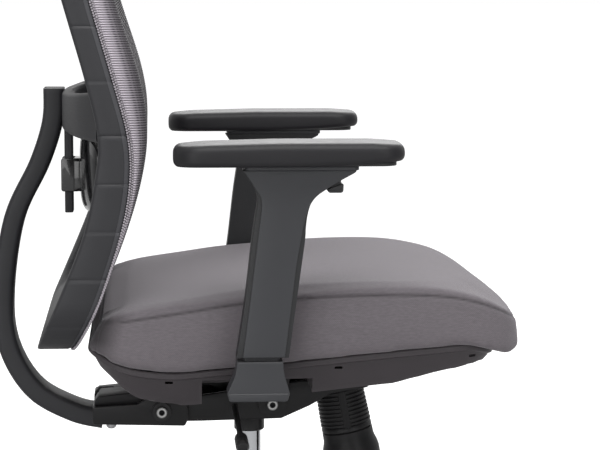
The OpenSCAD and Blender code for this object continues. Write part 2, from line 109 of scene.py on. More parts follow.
def resampled(points, spacing, closed=True):
    """Points at an even spacing along a polyline."""
    p = np.array([tuple(q) for q in points] + ([tuple(points[0])] if closed else []))
    length = np.concatenate([[0], np.cumsum(np.linalg.norm(np.diff(p, axis=0), axis=1))])
    count = max(int(round(length[-1] / spacing)), 2)
    at = np.linspace(0, length[-1], count + 1)
    if closed:
        at = at[:-1]
    return np.stack([np.interp(at, length, p[:, k]) for k in range(p.shape[1])], axis=1)


def strip(curve, thickness):
    """The outline of a strip along a curve."""
    left, right = [], []
    for i, point in enumerate(curve):
        ahead, behind = curve[min(i + 1, len(curve) - 1)], curve[max(i - 1, 0)]
        along = (Vector(ahead) - Vector(behind)).normalized()
        side = Vector((-along.y, along.x)) * thickness / 2
        left.append(Vector(point) + side)
        right.append(Vector(point) - side)
    return left + right[::-1]


def outward_normals(outline):
    """Unit normals in the outline's plane that point out of it."""
    along = np.roll(outline, -1, axis=0) - np.roll(outline, 1, axis=0)
    normal = np.stack([along[:, 1], -along[:, 0]], axis=1)
    normal /= np.linalg.norm(normal, axis=1)[:, None]
    area = np.sum(outline[:, 0] * np.roll(outline[:, 1], -1) - np.roll(outline[:, 0], -1) * outline[:, 1])
    return normal if area > 0 else -normal


# The back, seen from the side: mesh front, the edge of the flank, and the frame's rear
MESH_LINE = smooth([(-206, 425), (-176, 490), (-147, 563), (-129, 624), (-122.5, 677), (-130, 735),
                    (-157.6, 824), (-194, 950), (-236, 1094)], 8)
FLANK_LINE = smooth([(-212, 425), (-200, 442), (-177, 490), (-153.3, 563), (-142.8, 624), (-145, 674),
                     (-160.7, 735), (-186, 824), (-220, 950), (-260, 1094)], 8)
REAR_LINE = smooth([(-254, 423), (-223, 490), (-194.5, 562), (-180.5, 627), (-177.5, 673), (-191, 735),
                    (-216, 824), (-250, 950), (-290, 1094)], 8)
FRAME_BOTTOM = 427
FRAME_TOP = 1092
FRAME_CORNERS = [(-240, FRAME_BOTTOM), (240, FRAME_BOTTOM), (240, 860), (214, FRAME_TOP),
                 (-214, FRAME_TOP), (-240, 860)]
FRAME_RADII = [60, 60, 400, 90, 90, 400]
RIM_CURVE = smooth([(-190, 435), (-164, 421), (-138, 413), (-107, 409.2), (-77, 409.4), (28, 419),
                    (119, 427.6), (184, 433.5), (227, 437), (246, 436), (270, 428.5), (280, 421)], 6)
PAN_UNDER = smooth([(-196, 428), (-189, 421), (-166, 401.6), (-141, 380.4), (-118, 372.5), (-95, 369.5),
                    (-60, 368.5), (130, 387.7), (158, 391), (200, 402.5), (245, 411.5), (276, 416),
                    (284, 420)], 6)
SPINE_CURVE = smooth([(-178, 315), (-215, 324), (-262, 352), (-292, 405), (-297, 470), (-283, 560),
                      (-252, 626), (-236, 676), (-234, 716)], 6)

# The base: where the casters stand, and the middle of a caster's wheels from its stem
CASTER_CIRCLE = 305
SPOKE_ANGLES = [math.radians(36 + 72 * i) for i in range(5)]
WHEEL_CENTRE = (-20, 0, 27.5)


def line_at(line, height):
    """X on a side line at a height or an array of heights."""
    points = np.array([tuple(p) for p in line])
    return np.interp(height, points[:, 1], points[:, 0])


def curve_at(curve, x):
    """Height of a curve at X."""
    points = np.array([tuple(p) for p in curve])
    return np.interp(x, points[:, 0], points[:, 1])


def seat_plan(half_w, rear, front, bow, corner, steps=10):
    """The flat outline of the cushion and the pan, with a bowed front."""
    corners = [(front, -half_w), (rear, -half_w), (rear, half_w), (front, half_w), (front + bow, 0)]
    return rounded(corners, [58, corner, corner, 58, 1200], steps)


# ---- Modelling helpers ----------------------------------------------------------------------


def deselect():
    """Leaves edit mode and clears the selection."""
    if bpy.context.object and bpy.context.object.mode != "OBJECT":
        bpy.ops.object.mode_set(mode="OBJECT")
    bpy.ops.object.select_all(action="DESELECT")


def pick(piece):
    """Makes a piece the only selected one."""
    deselect()
    piece.select_set(True)
    bpy.context.view_layer.objects.active = piece


def named(name):
    """Names the new active object and its mesh."""
    piece = bpy.context.object
    piece.name = name
    piece.data.name = name
    return piece


def clean(piece, outward=True):
    """Closes seams and poles and points the faces outwards."""
    pick(piece)
    bpy.ops.object.mode_set(mode="EDIT")
    bpy.ops.mesh.select_all(action="SELECT")
    bpy.ops.mesh.remove_doubles(threshold=1e-5)
    bpy.ops.mesh.select_all(action="SELECT")
    bpy.ops.mesh.delete_loose()
    if outward:
        bpy.ops.mesh.select_all(action="SELECT")
        bpy.ops.mesh.normals_make_consistent(inside=False)
    bpy.ops.object.mode_set(mode="OBJECT")
    return piece


def add_modifier(piece, kind, **settings):
    """Adds a modifier with its settings and applies it."""
    pick(piece)
    bpy.ops.object.modifier_add(type=kind)
    modifier = piece.modifiers[-1]
    for key, value in settings.items():
        setattr(modifier, key, value)
    bpy.ops.object.modifier_apply(modifier=modifier.name)
    return piece


def soften(piece, width, segments=3, angle=35):
    """Rounds the sharp edges and shades the rest smooth."""
    if width:
        add_modifier(piece, "BEVEL", width=width * MM, segments=segments, limit_method="ANGLE",
                     angle_limit=math.radians(angle), use_clamp_overlap=True)
    pick(piece)
    bpy.ops.object.shade_smooth_by_angle(angle=math.radians(38))
    return piece


def slab(name, outline, axis, low, high, bevel=1.5, segments=3):
    """An outline drawn across an axis and given depth along it."""
    deselect()
    bpy.ops.mesh.primitive_circle_add(vertices=len(outline), radius=1, fill_type="NGON")
    piece = named(name)
    for vertex, (a, b) in zip(piece.data.vertices, outline):
        place = {"X": (low, a, b), "Y": (a, low, b), "Z": (a, b, low)}[axis]
        vertex.co = Vector(place) * MM
    bpy.ops.object.mode_set(mode="EDIT")
    bpy.ops.mesh.select_all(action="SELECT")
    bpy.ops.mesh.extrude_region_move(TRANSFORM_OT_translate={"value": ACROSS[axis] * (high - low) * MM})
    bpy.ops.object.mode_set(mode="OBJECT")
    clean(piece)
    return soften(piece, bevel, segments)


def capped(rows):
    """Rows of points closed by a single point at the middle of the first and of the last."""
    ends = [[tuple(np.mean(rows[k], axis=0))] * len(rows[0]) for k in (0, -1)]
    return [ends[0]] + rows + [ends[1]]


def loft(name, rows, ring=True, outward=True):
    """A grid whose rows are drawn out to rows of points."""
    rows = np.array(rows, float)
    if ring:
        rows = np.concatenate([rows, rows[:, :1]], axis=1)
    deselect()
    bpy.ops.mesh.primitive_grid_add(x_subdivisions=rows.shape[1] - 1, y_subdivisions=rows.shape[0] - 1)
    piece = named(name)
    piece.data.vertices.foreach_set("co", (rows * MM).ravel())
    piece.data.update()
    clean(piece, outward)
    pick(piece)
    bpy.ops.object.shade_smooth_by_angle(angle=math.radians(40))
    return piece


def turned(name, profile, foot=(0, 0, 0), direction=(0, 0, 1), steps=48, bevel=0.0):
    """A profile of radius and height, spun round an axis."""
    deselect()
    bpy.ops.mesh.primitive_circle_add(vertices=len(profile), radius=1, fill_type="NOTHING")
    piece = named(name)
    for vertex, (radius, height) in zip(piece.data.vertices, profile):
        vertex.co = Vector((radius, 0, height)) * MM
    bpy.ops.object.mode_set(mode="EDIT")
    bpy.ops.mesh.select_all(action="SELECT")
    bpy.ops.mesh.spin(steps=steps, angle=FULL_TURN, center=(0, 0, 0), axis=(0, 0, 1))
    bpy.ops.object.mode_set(mode="OBJECT")
    clean(piece)
    turn = Vector(direction).to_track_quat("Z", "Y").to_matrix().to_4x4()
    piece.data.transform(Matrix.Translation(Vector(foot) * MM) @ turn)
    return soften(piece, bevel)


def copied(piece, name, placement):
    """A copy of a piece with its own mesh, put in another place."""
    pick(piece)
    bpy.ops.object.duplicate()
    copy = named(name)
    copy.data.transform(placement)
    if placement.determinant() < 0:
        copy.data.flip_normals()
    copy.data.update()
    return copy


def joined(name, pieces):
    """Several pieces of one part, as one object."""
    deselect()
    for piece in pieces:
        piece.select_set(True)
    bpy.context.view_layer.objects.active = pieces[0]
    bpy.ops.object.join()
    return named(name)


def cut(piece, cutters):
    """Takes the cutters' shapes out of a piece."""
    for cutter in cutters:
        add_modifier(piece, "BOOLEAN", operation="DIFFERENCE", object=cutter, solver="MANIFOLD")
        bpy.data.objects.remove(cutter)
    return piece


def tube(name, path, radii, sides=10, closed=False):
    """A round tube along a path, with a radius at each point."""
    path = np.array(path, float)
    radii = np.broadcast_to(np.array(radii, float), (len(path),))
    if closed:
        along = np.roll(path, -1, axis=0) - np.roll(path, 1, axis=0)
    else:
        along = np.gradient(path, axis=0)
    along /= np.linalg.norm(along, axis=1)[:, None]
    guide = np.array([0.31, 0.2, 0.93]) if abs(along[:, 2]).mean() < 0.7 else np.array([0.93, 0.1, 0.2])
    side = np.cross(along, guide)
    side /= np.linalg.norm(side, axis=1)[:, None]
    up = np.cross(side, along)
    angle = np.linspace(0, FULL_TURN, sides, endpoint=False)
    rings = path[:, None] + radii[:, None, None] * (
        side[:, None] * np.cos(angle)[None, :, None] + up[:, None] * np.sin(angle)[None, :, None]
    )
    if closed:
        rings = np.concatenate([rings, rings[:1]])
    else:
        ends = np.broadcast_to(path[0], rings[:1].shape), np.broadcast_to(path[-1], rings[:1].shape)
        rings = np.concatenate([ends[0], rings, ends[1]])
    return loft(name, rings)


def mark_edges(piece, strength=1.0):
    """Stores how far each vertex stands out from its neighbours, for wear along the edges."""
    mesh = piece.data
    count = len(mesh.vertices)
    co = np.empty(count * 3)
    normal = np.empty(count * 3)
    mesh.vertices.foreach_get("co", co)
    mesh.vertices.foreach_get("normal", normal)
    co, normal = co.reshape(-1, 3), normal.reshape(-1, 3)
    pair = np.empty(len(mesh.edges) * 2, int)
    mesh.edges.foreach_get("vertices", pair)
    pair = pair.reshape(-1, 2)
    step = co[pair[:, 0]] - co[pair[:, 1]]
    length = np.linalg.norm(step, axis=1) + 1e-9
    total, times = np.zeros(count), np.zeros(count)
    for end, sign in ((0, 1), (1, -1)):
        rise = sign * np.einsum("ij,ij->i", normal[pair[:, end]], step) / length
        np.add.at(total, pair[:, end], rise)
        np.add.at(times, pair[:, end], 1)
    edge = np.clip(total / np.maximum(times, 1) * 3 * strength, 0, 1)
    attribute = mesh.attributes.new("edge", "FLOAT", "POINT")
    attribute.data.foreach_set("value", edge.astype(np.float32))
    return piece


def settle(piece, body, finish, slot, *nodes):
    """Gives a finished piece its material, its body and the CAD nodes it stands for; the slot is not used."""
    piece.data.materials.clear()
    piece.data.materials.append(finish)
    if "edge" not in piece.data.attributes:
        mark_edges(piece)
    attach(piece, body)
    if nodes:
        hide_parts(*nodes)
    return piece


# ---- Materials ------------------------------------------------------------------------------


def node_group(name, inputs, outputs):
    """An empty shader group with named number, colour and vector sockets."""
    group = bpy.data.node_groups.new(name, "ShaderNodeTree")
    kinds = {"number": "NodeSocketFloat", "colour": "NodeSocketColor", "vector": "NodeSocketVector"}
    for socket, kind in inputs:
        group.interface.new_socket(name=socket, in_out="INPUT", socket_type=kinds[kind])
    for socket, kind in outputs:
        group.interface.new_socket(name=socket, in_out="OUTPUT", socket_type=kinds[kind])
    return group, group.nodes.new("NodeGroupInput"), group.nodes.new("NodeGroupOutput")


def add_node(tree, kind, **settings):
    """A node with its settings; sockets are set by name or number through `values`."""
    values = settings.pop("values", {})
    node = tree.nodes.new(kind)
    for key, value in settings.items():
        setattr(node, key, value)
    for key, value in values.items():
        node.inputs[key].default_value = value
    return node


def math_node(tree, operation, a, b=None, c=None, clamp=False):
    """A Math node whose inputs are numbers or sockets."""
    node = add_node(tree, "ShaderNodeMath", operation=operation, use_clamp=clamp)
    for socket, value in zip(node.inputs, (a, b, c)):
        if value is None:
            continue
        if isinstance(value, (int, float)):
            socket.default_value = value
        else:
            tree.links.new(value, socket)
    return node.outputs[0]


def mix_colour(tree, factor, a, b, blend="MIX"):
    """A colour mix whose inputs are colours or sockets."""
    node = add_node(tree, "ShaderNodeMix", data_type="RGBA", blend_type=blend, clamp_factor=True)
    for socket, value in zip((node.inputs[0], node.inputs[6], node.inputs[7]), (factor, a, b)):
        if isinstance(value, (int, float)):
            socket.default_value = value
        elif isinstance(value, (tuple, list)):
            socket.default_value = (*value[:3], 1)
        else:
            tree.links.new(value, socket)
    return node.outputs[2]


def scaled(colour, factor):
    """A colour made darker or lighter."""
    return tuple(min(channel * factor, 1) for channel in tuple(colour)[:3])


def grain_group():
    """Moulded grain: fine pebbling, broad mottling and faint rubbed streaks."""
    group, source, sink = node_group(
        "Moulded grain",
        [("Vector", "vector"), ("Scale", "number")],
        [("Mottle", "number"), ("Streak", "number"), ("Height", "number")],
    )
    link = group.links.new
    fine = add_node(group, "ShaderNodeTexNoise", values={"Detail": 3.0, "Roughness": 0.6})
    broad = add_node(group, "ShaderNodeTexNoise", values={"Detail": 4.0, "Scale": 9.0})
    stretch = add_node(group, "ShaderNodeMapping",
                       values={"Scale": (1.0, 1.0, 14.0), "Rotation": (0.3, 0.5, 0.2)})
    streak = add_node(group, "ShaderNodeTexNoise", values={"Detail": 5.0, "Scale": 60.0, "Roughness": 0.7})
    for node in (fine, broad):
        link(source.outputs["Vector"], node.inputs["Vector"])
    link(source.outputs["Scale"], fine.inputs["Scale"])
    link(source.outputs["Vector"], stretch.inputs["Vector"])
    link(stretch.outputs["Vector"], streak.inputs["Vector"])
    link(broad.outputs["Fac"], sink.inputs["Mottle"])
    link(streak.outputs["Fac"], sink.inputs["Streak"])
    link(fine.outputs["Fac"], sink.inputs["Height"])
    return group


def dust_group():
    """Dust that settles on upward faces, broken up by noise."""
    group, source, sink = node_group("Settled dust", [("Vector", "vector")], [("Mask", "number")])
    geometry = add_node(group, "ShaderNodeNewGeometry")
    split = add_node(group, "ShaderNodeSeparateXYZ")
    noise = add_node(group, "ShaderNodeTexNoise", values={"Scale": 140.0, "Detail": 6.0, "Roughness": 0.75})
    group.links.new(source.outputs["Vector"], noise.inputs["Vector"])
    group.links.new(geometry.outputs["Normal"], split.inputs["Vector"])
    up = math_node(group, "MULTIPLY_ADD", split.outputs["Z"], 1.6, -0.6, clamp=True)
    speck = math_node(group, "MULTIPLY_ADD", noise.outputs["Fac"], 2.4, -0.8, clamp=True)
    group.links.new(math_node(group, "MULTIPLY", up, speck), sink.inputs["Mask"])
    return group


def weave_group():
    """Plain weave in UV space, with slubs in the yarn: height, and a tone for each yarn."""
    group, source, sink = node_group(
        "Plain weave",
        [("Vector", "vector"), ("Threads", "number")],
        [("Height", "number"), ("Tone", "number")],
    )
    link = group.links.new
    scale = add_node(group, "ShaderNodeVectorMath", operation="SCALE")
    link(source.outputs["Vector"], scale.inputs[0])
    link(source.outputs["Threads"], scale.inputs["Scale"])
    split = add_node(group, "ShaderNodeSeparateXYZ")
    link(scale.outputs["Vector"], split.inputs["Vector"])
    warp = math_node(group, "SINE", math_node(group, "MULTIPLY", split.outputs["X"], FULL_TURN / 2))
    weft = math_node(group, "SINE", math_node(group, "MULTIPLY", split.outputs["Y"], FULL_TURN / 2))
    over = math_node(group, "MULTIPLY", warp, weft)
    turn_x = math_node(group, "MULTIPLY", split.outputs["X"], FULL_TURN)
    crown_x = math_node(group, "ABSOLUTE", math_node(group, "SINE", turn_x))
    turn_y = math_node(group, "MULTIPLY", split.outputs["Y"], FULL_TURN)
    crown_y = math_node(group, "ABSOLUTE", math_node(group, "SINE", turn_y))
    crown = math_node(group, "MULTIPLY", crown_x, crown_y)
    height = math_node(group, "MULTIPLY_ADD", over, 0.35, math_node(group, "MULTIPLY", crown, 0.5))
    slub_map = add_node(group, "ShaderNodeMapping", values={"Scale": (0.04, 0.9, 1.0)})
    slub = add_node(group, "ShaderNodeTexNoise", values={"Scale": 1.0, "Detail": 3.0})
    link(scale.outputs["Vector"], slub_map.inputs["Vector"])
    link(slub_map.outputs["Vector"], slub.inputs["Vector"])
    heather = add_node(group, "ShaderNodeTexNoise", values={"Scale": 0.7, "Detail": 4.0})
    link(scale.outputs["Vector"], heather.inputs["Vector"])
    tone = math_node(group, "MULTIPLY_ADD", slub.outputs["Fac"], 0.5,
                     math_node(group, "MULTIPLY", heather.outputs["Fac"], 0.5))
    link(height, sink.inputs["Height"])
    link(tone, sink.inputs["Tone"])
    return group


def new_material(name, **constants):
    """A material whose shader has its constant values set on its own sockets."""
    material = bpy.data.materials.new(name)
    material.use_nodes = True
    tree = material.node_tree
    shader = tree.nodes["Principled BSDF"]
    for key, value in constants.items():
        shader.inputs[key.replace("_", " ")].default_value = value
    return material, tree, shader


def use_group(tree, group, **values):
    node = add_node(tree, "ShaderNodeGroup")
    node.node_tree = group
    for key, value in values.items():
        if isinstance(value, (int, float)):
            node.inputs[key].default_value = value
        else:
            tree.links.new(value, node.inputs[key])
    return node


def bump(tree, shader, height, distance, strength=1.0):
    node = add_node(tree, "ShaderNodeBump", values={"Strength": strength, "Distance": distance})
    tree.links.new(height, node.inputs["Height"])
    tree.links.new(node.outputs["Normal"], shader.inputs["Normal"])


def moulded(groups, name, colour, roughness, grain=900.0, depth=0.00005, dust=0.12, wear=0.25, **constants):
    """Moulded or painted finish: grain, mottling, dust on top and rubbed edges."""
    material, tree, shader = new_material(name, **constants)
    place = add_node(tree, "ShaderNodeTexCoord").outputs["Object"]
    grains = use_group(tree, groups["grain"], Vector=place, Scale=grain)
    settled = use_group(tree, groups["dust"], Vector=place)
    edge = add_node(tree, "ShaderNodeAttribute", attribute_name="edge")
    base = mix_colour(tree, grains.outputs["Mottle"], scaled(colour, 0.82), scaled(colour, 1.2))
    rub = math_node(tree, "MULTIPLY", edge.outputs["Fac"], grains.outputs["Streak"])
    rub = math_node(tree, "MULTIPLY", rub, wear, clamp=True)
    worn = mix_colour(tree, rub, base, scaled([c + 0.03 for c in colour], 1.8))
    dusty = mix_colour(tree, math_node(tree, "MULTIPLY", settled.outputs["Mask"], dust), worn,
                       (0.5, 0.48, 0.46))
    tree.links.new(dusty, shader.inputs["Base Color"])
    low, high = roughness - 0.07, roughness + 0.09
    rough = math_node(tree, "MULTIPLY_ADD", grains.outputs["Streak"], high - low, low)
    tree.links.new(rough, shader.inputs["Roughness"])
    bump(tree, shader, grains.outputs["Height"], depth, 0.6)
    return material


def bare_metal(groups, name, colour, roughness, **constants):
    """Plated or polished metal with fine turning marks and a little tarnish."""
    material, tree, shader = new_material(name, Metallic=1.0, **constants)
    place = add_node(tree, "ShaderNodeTexCoord").outputs["Object"]
    grains = use_group(tree, groups["grain"], Vector=place, Scale=1500.0)
    tarnish = mix_colour(tree, grains.outputs["Mottle"], scaled(colour, 0.86), scaled(colour, 1.06))
    tree.links.new(tarnish, shader.inputs["Base Color"])
    rough = math_node(tree, "MULTIPLY_ADD", grains.outputs["Streak"], roughness, roughness * 0.5)
    tree.links.new(rough, shader.inputs["Roughness"])
    bump(tree, shader, grains.outputs["Streak"], 0.00002, 0.25)
    return material


def seat_cloth(groups, colour):
    """Woven upholstery: fine plain weave, heathered yarn, soft fuzz, darker seams and a painted shadow on the
    rear corners.
    """
    material, tree, shader = new_material("seat_cloth", Sheen_Weight=0.2, Sheen_Roughness=0.5,
                                          Specular_IOR_Level=0.3)
    shader.inputs["Sheen Tint"].default_value = (0.86, 0.84, 0.88, 1)
    uv = add_node(tree, "ShaderNodeTexCoord").outputs["UV"]
    place = add_node(tree, "ShaderNodeTexCoord").outputs["Object"]
    weave = use_group(tree, groups["weave"], Vector=uv, Threads=900.0)
    cloud = add_node(tree, "ShaderNodeTexNoise", values={"Scale": 7.0, "Detail": 3.0})
    tree.links.new(place, cloud.inputs["Vector"])
    streak_map = add_node(tree, "ShaderNodeMapping", values={"Scale": (0.3, 1.0, 1.4)})
    streak = add_node(tree, "ShaderNodeTexNoise", values={"Scale": 520.0, "Detail": 2.0, "Roughness": 0.65})
    tree.links.new(place, streak_map.inputs["Vector"])
    tree.links.new(streak_map.outputs["Vector"], streak.inputs["Vector"])
    yarn = math_node(tree, "MULTIPLY_ADD", streak.outputs["Fac"], 2.6, -0.8, clamp=True)
    yarn = math_node(tree, "MULTIPLY_ADD", weave.outputs["Tone"], 0.4, math_node(tree, "MULTIPLY", yarn, 0.6))
    tone = mix_colour(tree, yarn, scaled(colour, 0.62), scaled(colour, 1.36))
    shade = math_node(tree, "MULTIPLY_ADD", weave.outputs["Height"], 0.35, 0.3, clamp=True)
    tone = mix_colour(tree, shade, scaled(colour, 0.6), tone)
    tone = mix_colour(tree, math_node(tree, "MULTIPLY", cloud.outputs["Fac"], 0.16), tone,
                      scaled(colour, 0.7))
    # The 'seam' attribute darkens the seam lines and paints the shadow on the cushion's rear corners.
    seam = add_node(tree, "ShaderNodeAttribute", attribute_name="seam").outputs["Fac"]
    tone = mix_colour(tree, math_node(tree, "MULTIPLY", seam, 0.92), tone, scaled(colour, 0.12))
    tree.links.new(tone, shader.inputs["Base Color"])
    rough = math_node(tree, "MULTIPLY_ADD", weave.outputs["Tone"], 0.12, 0.78)
    tree.links.new(rough, shader.inputs["Roughness"])
    bump(tree, shader, weave.outputs["Height"], 0.00025, 0.55)
    return material


def mesh_cloth(groups, light, dark):
    """Ribbed elastic net: pale ribs, dark gaps that let light through, fine cross threads, and painted shade
    that darkens the front.
    """
    material, tree, shader = new_material("mesh_cloth", Specular_IOR_Level=0.12, Roughness=0.7)
    rib = add_node(tree, "ShaderNodeAttribute", attribute_name="rib").outputs["Fac"]
    side = add_node(tree, "ShaderNodeAttribute", attribute_name="thread").outputs["Fac"]
    wrap = add_node(tree, "ShaderNodeAttribute", attribute_name="backed").outputs["Fac"]
    wave = math_node(tree, "SINE", math_node(tree, "MULTIPLY", rib, FULL_TURN))
    crest = math_node(tree, "MULTIPLY_ADD", wave, 0.9, 0.55, clamp=True)
    thread = math_node(tree, "SINE", math_node(tree, "MULTIPLY", side, FULL_TURN))
    knit = math_node(tree, "MULTIPLY_ADD", thread, 0.5, 0.5, clamp=True)
    place = add_node(tree, "ShaderNodeTexCoord").outputs["Object"]
    grains = use_group(tree, groups["grain"], Vector=place, Scale=1200.0)
    # Painted shade: 'rim' is 0 across the front and 1 round the wrapped edge, so the front is painted dark
    # and the edge stays pale.
    rim = add_node(tree, "ShaderNodeAttribute", attribute_name="rim").outputs["Fac"]
    pale = mix_colour(tree, grains.outputs["Mottle"], scaled(light, 0.85), scaled(light, 1.15))
    pale = mix_colour(tree, rim, scaled(light, 0.12), pale)
    gap = mix_colour(tree, math_node(tree, "MULTIPLY", knit, 0.35), dark, pale)
    tree.links.new(mix_colour(tree, crest, gap, pale), shader.inputs["Base Color"])
    solid = math_node(tree, "MULTIPLY_ADD", knit, 0.35, 0.25)
    solid = math_node(tree, "MAXIMUM", math_node(tree, "MAXIMUM", solid, crest), wrap, clamp=True)
    tree.links.new(solid, shader.inputs["Alpha"])
    bump(tree, shader, math_node(tree, "ADD", crest, math_node(tree, "MULTIPLY", knit, 0.2)), 0.0004, 0.5)
    return material


def bead_finish(groups, light):
    """The cord of small beads at the mesh's edge: pale tops and painted shade in the gaps between them."""
    material, tree, shader = new_material("edge_beading", Roughness=0.5)
    crown = add_node(tree, "ShaderNodeAttribute", attribute_name="crown").outputs["Fac"]
    place = add_node(tree, "ShaderNodeTexCoord").outputs["Object"]
    grains = use_group(tree, groups["grain"], Vector=place, Scale=1400.0)
    pale = mix_colour(tree, grains.outputs["Mottle"], scaled(light, 0.55), scaled(light, 0.8))
    # Painted shade: near black where the cord narrows between beads.
    tree.links.new(mix_colour(tree, crown, (0.012, 0.011, 0.013), pale), shader.inputs["Base Color"])
    bump(tree, shader, grains.outputs["Height"], 0.00008, 0.5)
    return material


def bolt_zinc(groups, middle):
    """Dull plated bolt head: a pale plated ring, with painted shade inside its socket and round its outer
    edge.
    """
    material, tree, shader = new_material(f"bolt_zinc_{abs(round(middle[0] * 1000))}", Metallic=1.0,
                                          Roughness=0.34)
    place = add_node(tree, "ShaderNodeTexCoord").outputs["Object"]
    grains = use_group(tree, groups["grain"], Vector=place, Scale=1500.0)
    split = add_node(tree, "ShaderNodeSeparateXYZ")
    tree.links.new(place, split.inputs["Vector"])
    across = math_node(tree, "SUBTRACT", split.outputs["X"], middle[0])
    up = math_node(tree, "SUBTRACT", split.outputs["Z"], middle[1])
    across, up = math_node(tree, "MULTIPLY", across, across), math_node(tree, "MULTIPLY", up, up)
    away = math_node(tree, "SQRT", math_node(tree, "ADD", across, up))
    plate = mix_colour(tree, grains.outputs["Mottle"], (0.34, 0.34, 0.34), (0.5, 0.5, 0.49))
    # Painted shade: near black inside the socket, and darker again round the head's edge, where it sits in
    # its recess.
    socket = math_node(tree, "MULTIPLY_ADD", away, -1600.0, 6.2, clamp=True)
    skirt = math_node(tree, "MULTIPLY_ADD", away, 1400.0, -7.2, clamp=True)
    shade = math_node(tree, "MAXIMUM", socket, math_node(tree, "MULTIPLY", skirt, 0.7))
    tree.links.new(mix_colour(tree, shade, plate, (0.012, 0.012, 0.013)), shader.inputs["Base Color"])
    return material


def plywood():
    """Raw plywood, with a long grain."""
    material, tree, shader = new_material("plywood")
    place = add_node(tree, "ShaderNodeTexCoord").outputs["Object"]
    stretch = add_node(tree, "ShaderNodeMapping", values={"Scale": (3.0, 60.0, 60.0)})
    noise = add_node(tree, "ShaderNodeTexNoise", values={"Scale": 2.0, "Detail": 6.0, "Distortion": 0.6})
    tree.links.new(place, stretch.inputs["Vector"])
    tree.links.new(stretch.outputs["Vector"], noise.inputs["Vector"])
    tree.links.new(mix_colour(tree, noise.outputs["Fac"], (0.35, 0.22, 0.12), (0.62, 0.46, 0.28)),
                   shader.inputs["Base Color"])
    tree.links.new(math_node(tree, "MULTIPLY_ADD", noise.outputs["Fac"], 0.2, 0.6),
                   shader.inputs["Roughness"])
    bump(tree, shader, noise.outputs["Fac"], 0.0002, 0.4)
    return material


def make_finishes(colours):
    """Every material of the chair, by name."""
    groups = {"grain": grain_group(), "dust": dust_group(), "weave": weave_group()}
    f = {}
    f["base_plastic"] = moulded(groups, "base_plastic", colours.base, 0.42, dust=0.2)
    f["caster_plastic"] = moulded(groups, "caster_plastic", colours.base, 0.38, dust=0.2)
    f["caster_tread"] = moulded(groups, "caster_tread", (0.05, 0.05, 0.055), 0.55, grain=500, wear=0.5,
                                dust=0.4)
    f["column_paint"] = moulded(groups, "column_paint", (0.012, 0.012, 0.013), 0.34, grain=1800,
                                Coat_Weight=0.2)
    f["chrome"] = bare_metal(groups, "chrome", (0.55, 0.56, 0.58), 0.1)
    f["zinc"] = bare_metal(groups, "zinc", (0.33, 0.33, 0.34), 0.32)
    f["rear_axle"] = bolt_zinc(groups, (-0.1075, 0.3316))
    f["front_axle"] = bolt_zinc(groups, (0.025, 0.3388))
    f["mech_paint"] = moulded(groups, "mech_paint", colours.mechanism, 0.36, grain=1500, wear=0.35,
                              dust=0.06, Specular_IOR_Level=0.3)
    f["mech_plastic"] = moulded(groups, "mech_plastic", colours.mechanism, 0.42, grain=1100, dust=0.06,
                                Specular_IOR_Level=0.26)
    f["frame_plastic"] = moulded(groups, "frame_plastic", colours.frame, 0.48, Specular_IOR_Level=0.38)
    # A copy of the frame plastic at almost twice its brightness: a painted highlight on the flanks' front
    # chamfer.
    f["flank_edge_highlight"] = moulded(groups, "flank_edge_highlight", scaled(colours.frame, 1.9), 0.42)
    f["gloss_black"] = moulded(groups, "gloss_black", (0.006, 0.006, 0.007), 0.16, depth=0.000004,
                               Coat_Weight=0.6)
    f["back_mesh"] = mesh_cloth(groups, colours.mesh, (0.03, 0.027, 0.032))
    f["edge_beading"] = bead_finish(groups, colours.mesh)
    f["seat_fabric"] = seat_cloth(groups, colours.cushion)
    f["pan_plastic"] = moulded(groups, "pan_plastic", colours.pan, 0.5, Specular_IOR_Level=0.3)
    f["plywood"] = plywood()
    f["arm_plastic"] = moulded(groups, "arm_plastic", colours.arm, 0.44)
    # A shaded copy of the armrest plastic at about a third of its brightness: painted shade on the sleeves,
    # buttons and pad cores.
    f["arm_plastic_shaded"] = moulded(groups, "arm_plastic_shaded", scaled(colours.arm, 0.35), 0.46)
    f["pad_foam"] = moulded(groups, "pad_foam", colours.pad, 0.46, grain=1400, depth=0.00008, wear=0.15,
                            dust=0.05, Specular_IOR_Level=0.32)
    return f


FINISHES = {}


# ---- Sizes and colours ----------------------------------------------------------------------


class ChairSizes(bpy.types.PropertyGroup):
    """Sizes that a user would change, in millimetres."""

    rib_pitch: FloatProperty(name="Rib pitch", description="Distance between two ribs of the mesh",
                             default=2.8)
    bead_pitch: FloatProperty(name="Bead pitch",
                              description="Distance between two beads of the mesh's edge", default=3.0)
    seam_drop: FloatProperty(name="Seam drop",
                             description="How far the cushion's side seam lies below its top edge",
                             default=11.0)
    cushion_swell: FloatProperty(name="Cushion swell",
                                 description="Furthest that the cushion's cover swells", default=4.5)
    ring_count: IntProperty(name="Rings", description="Rings round the tension spring's cup", default=9)


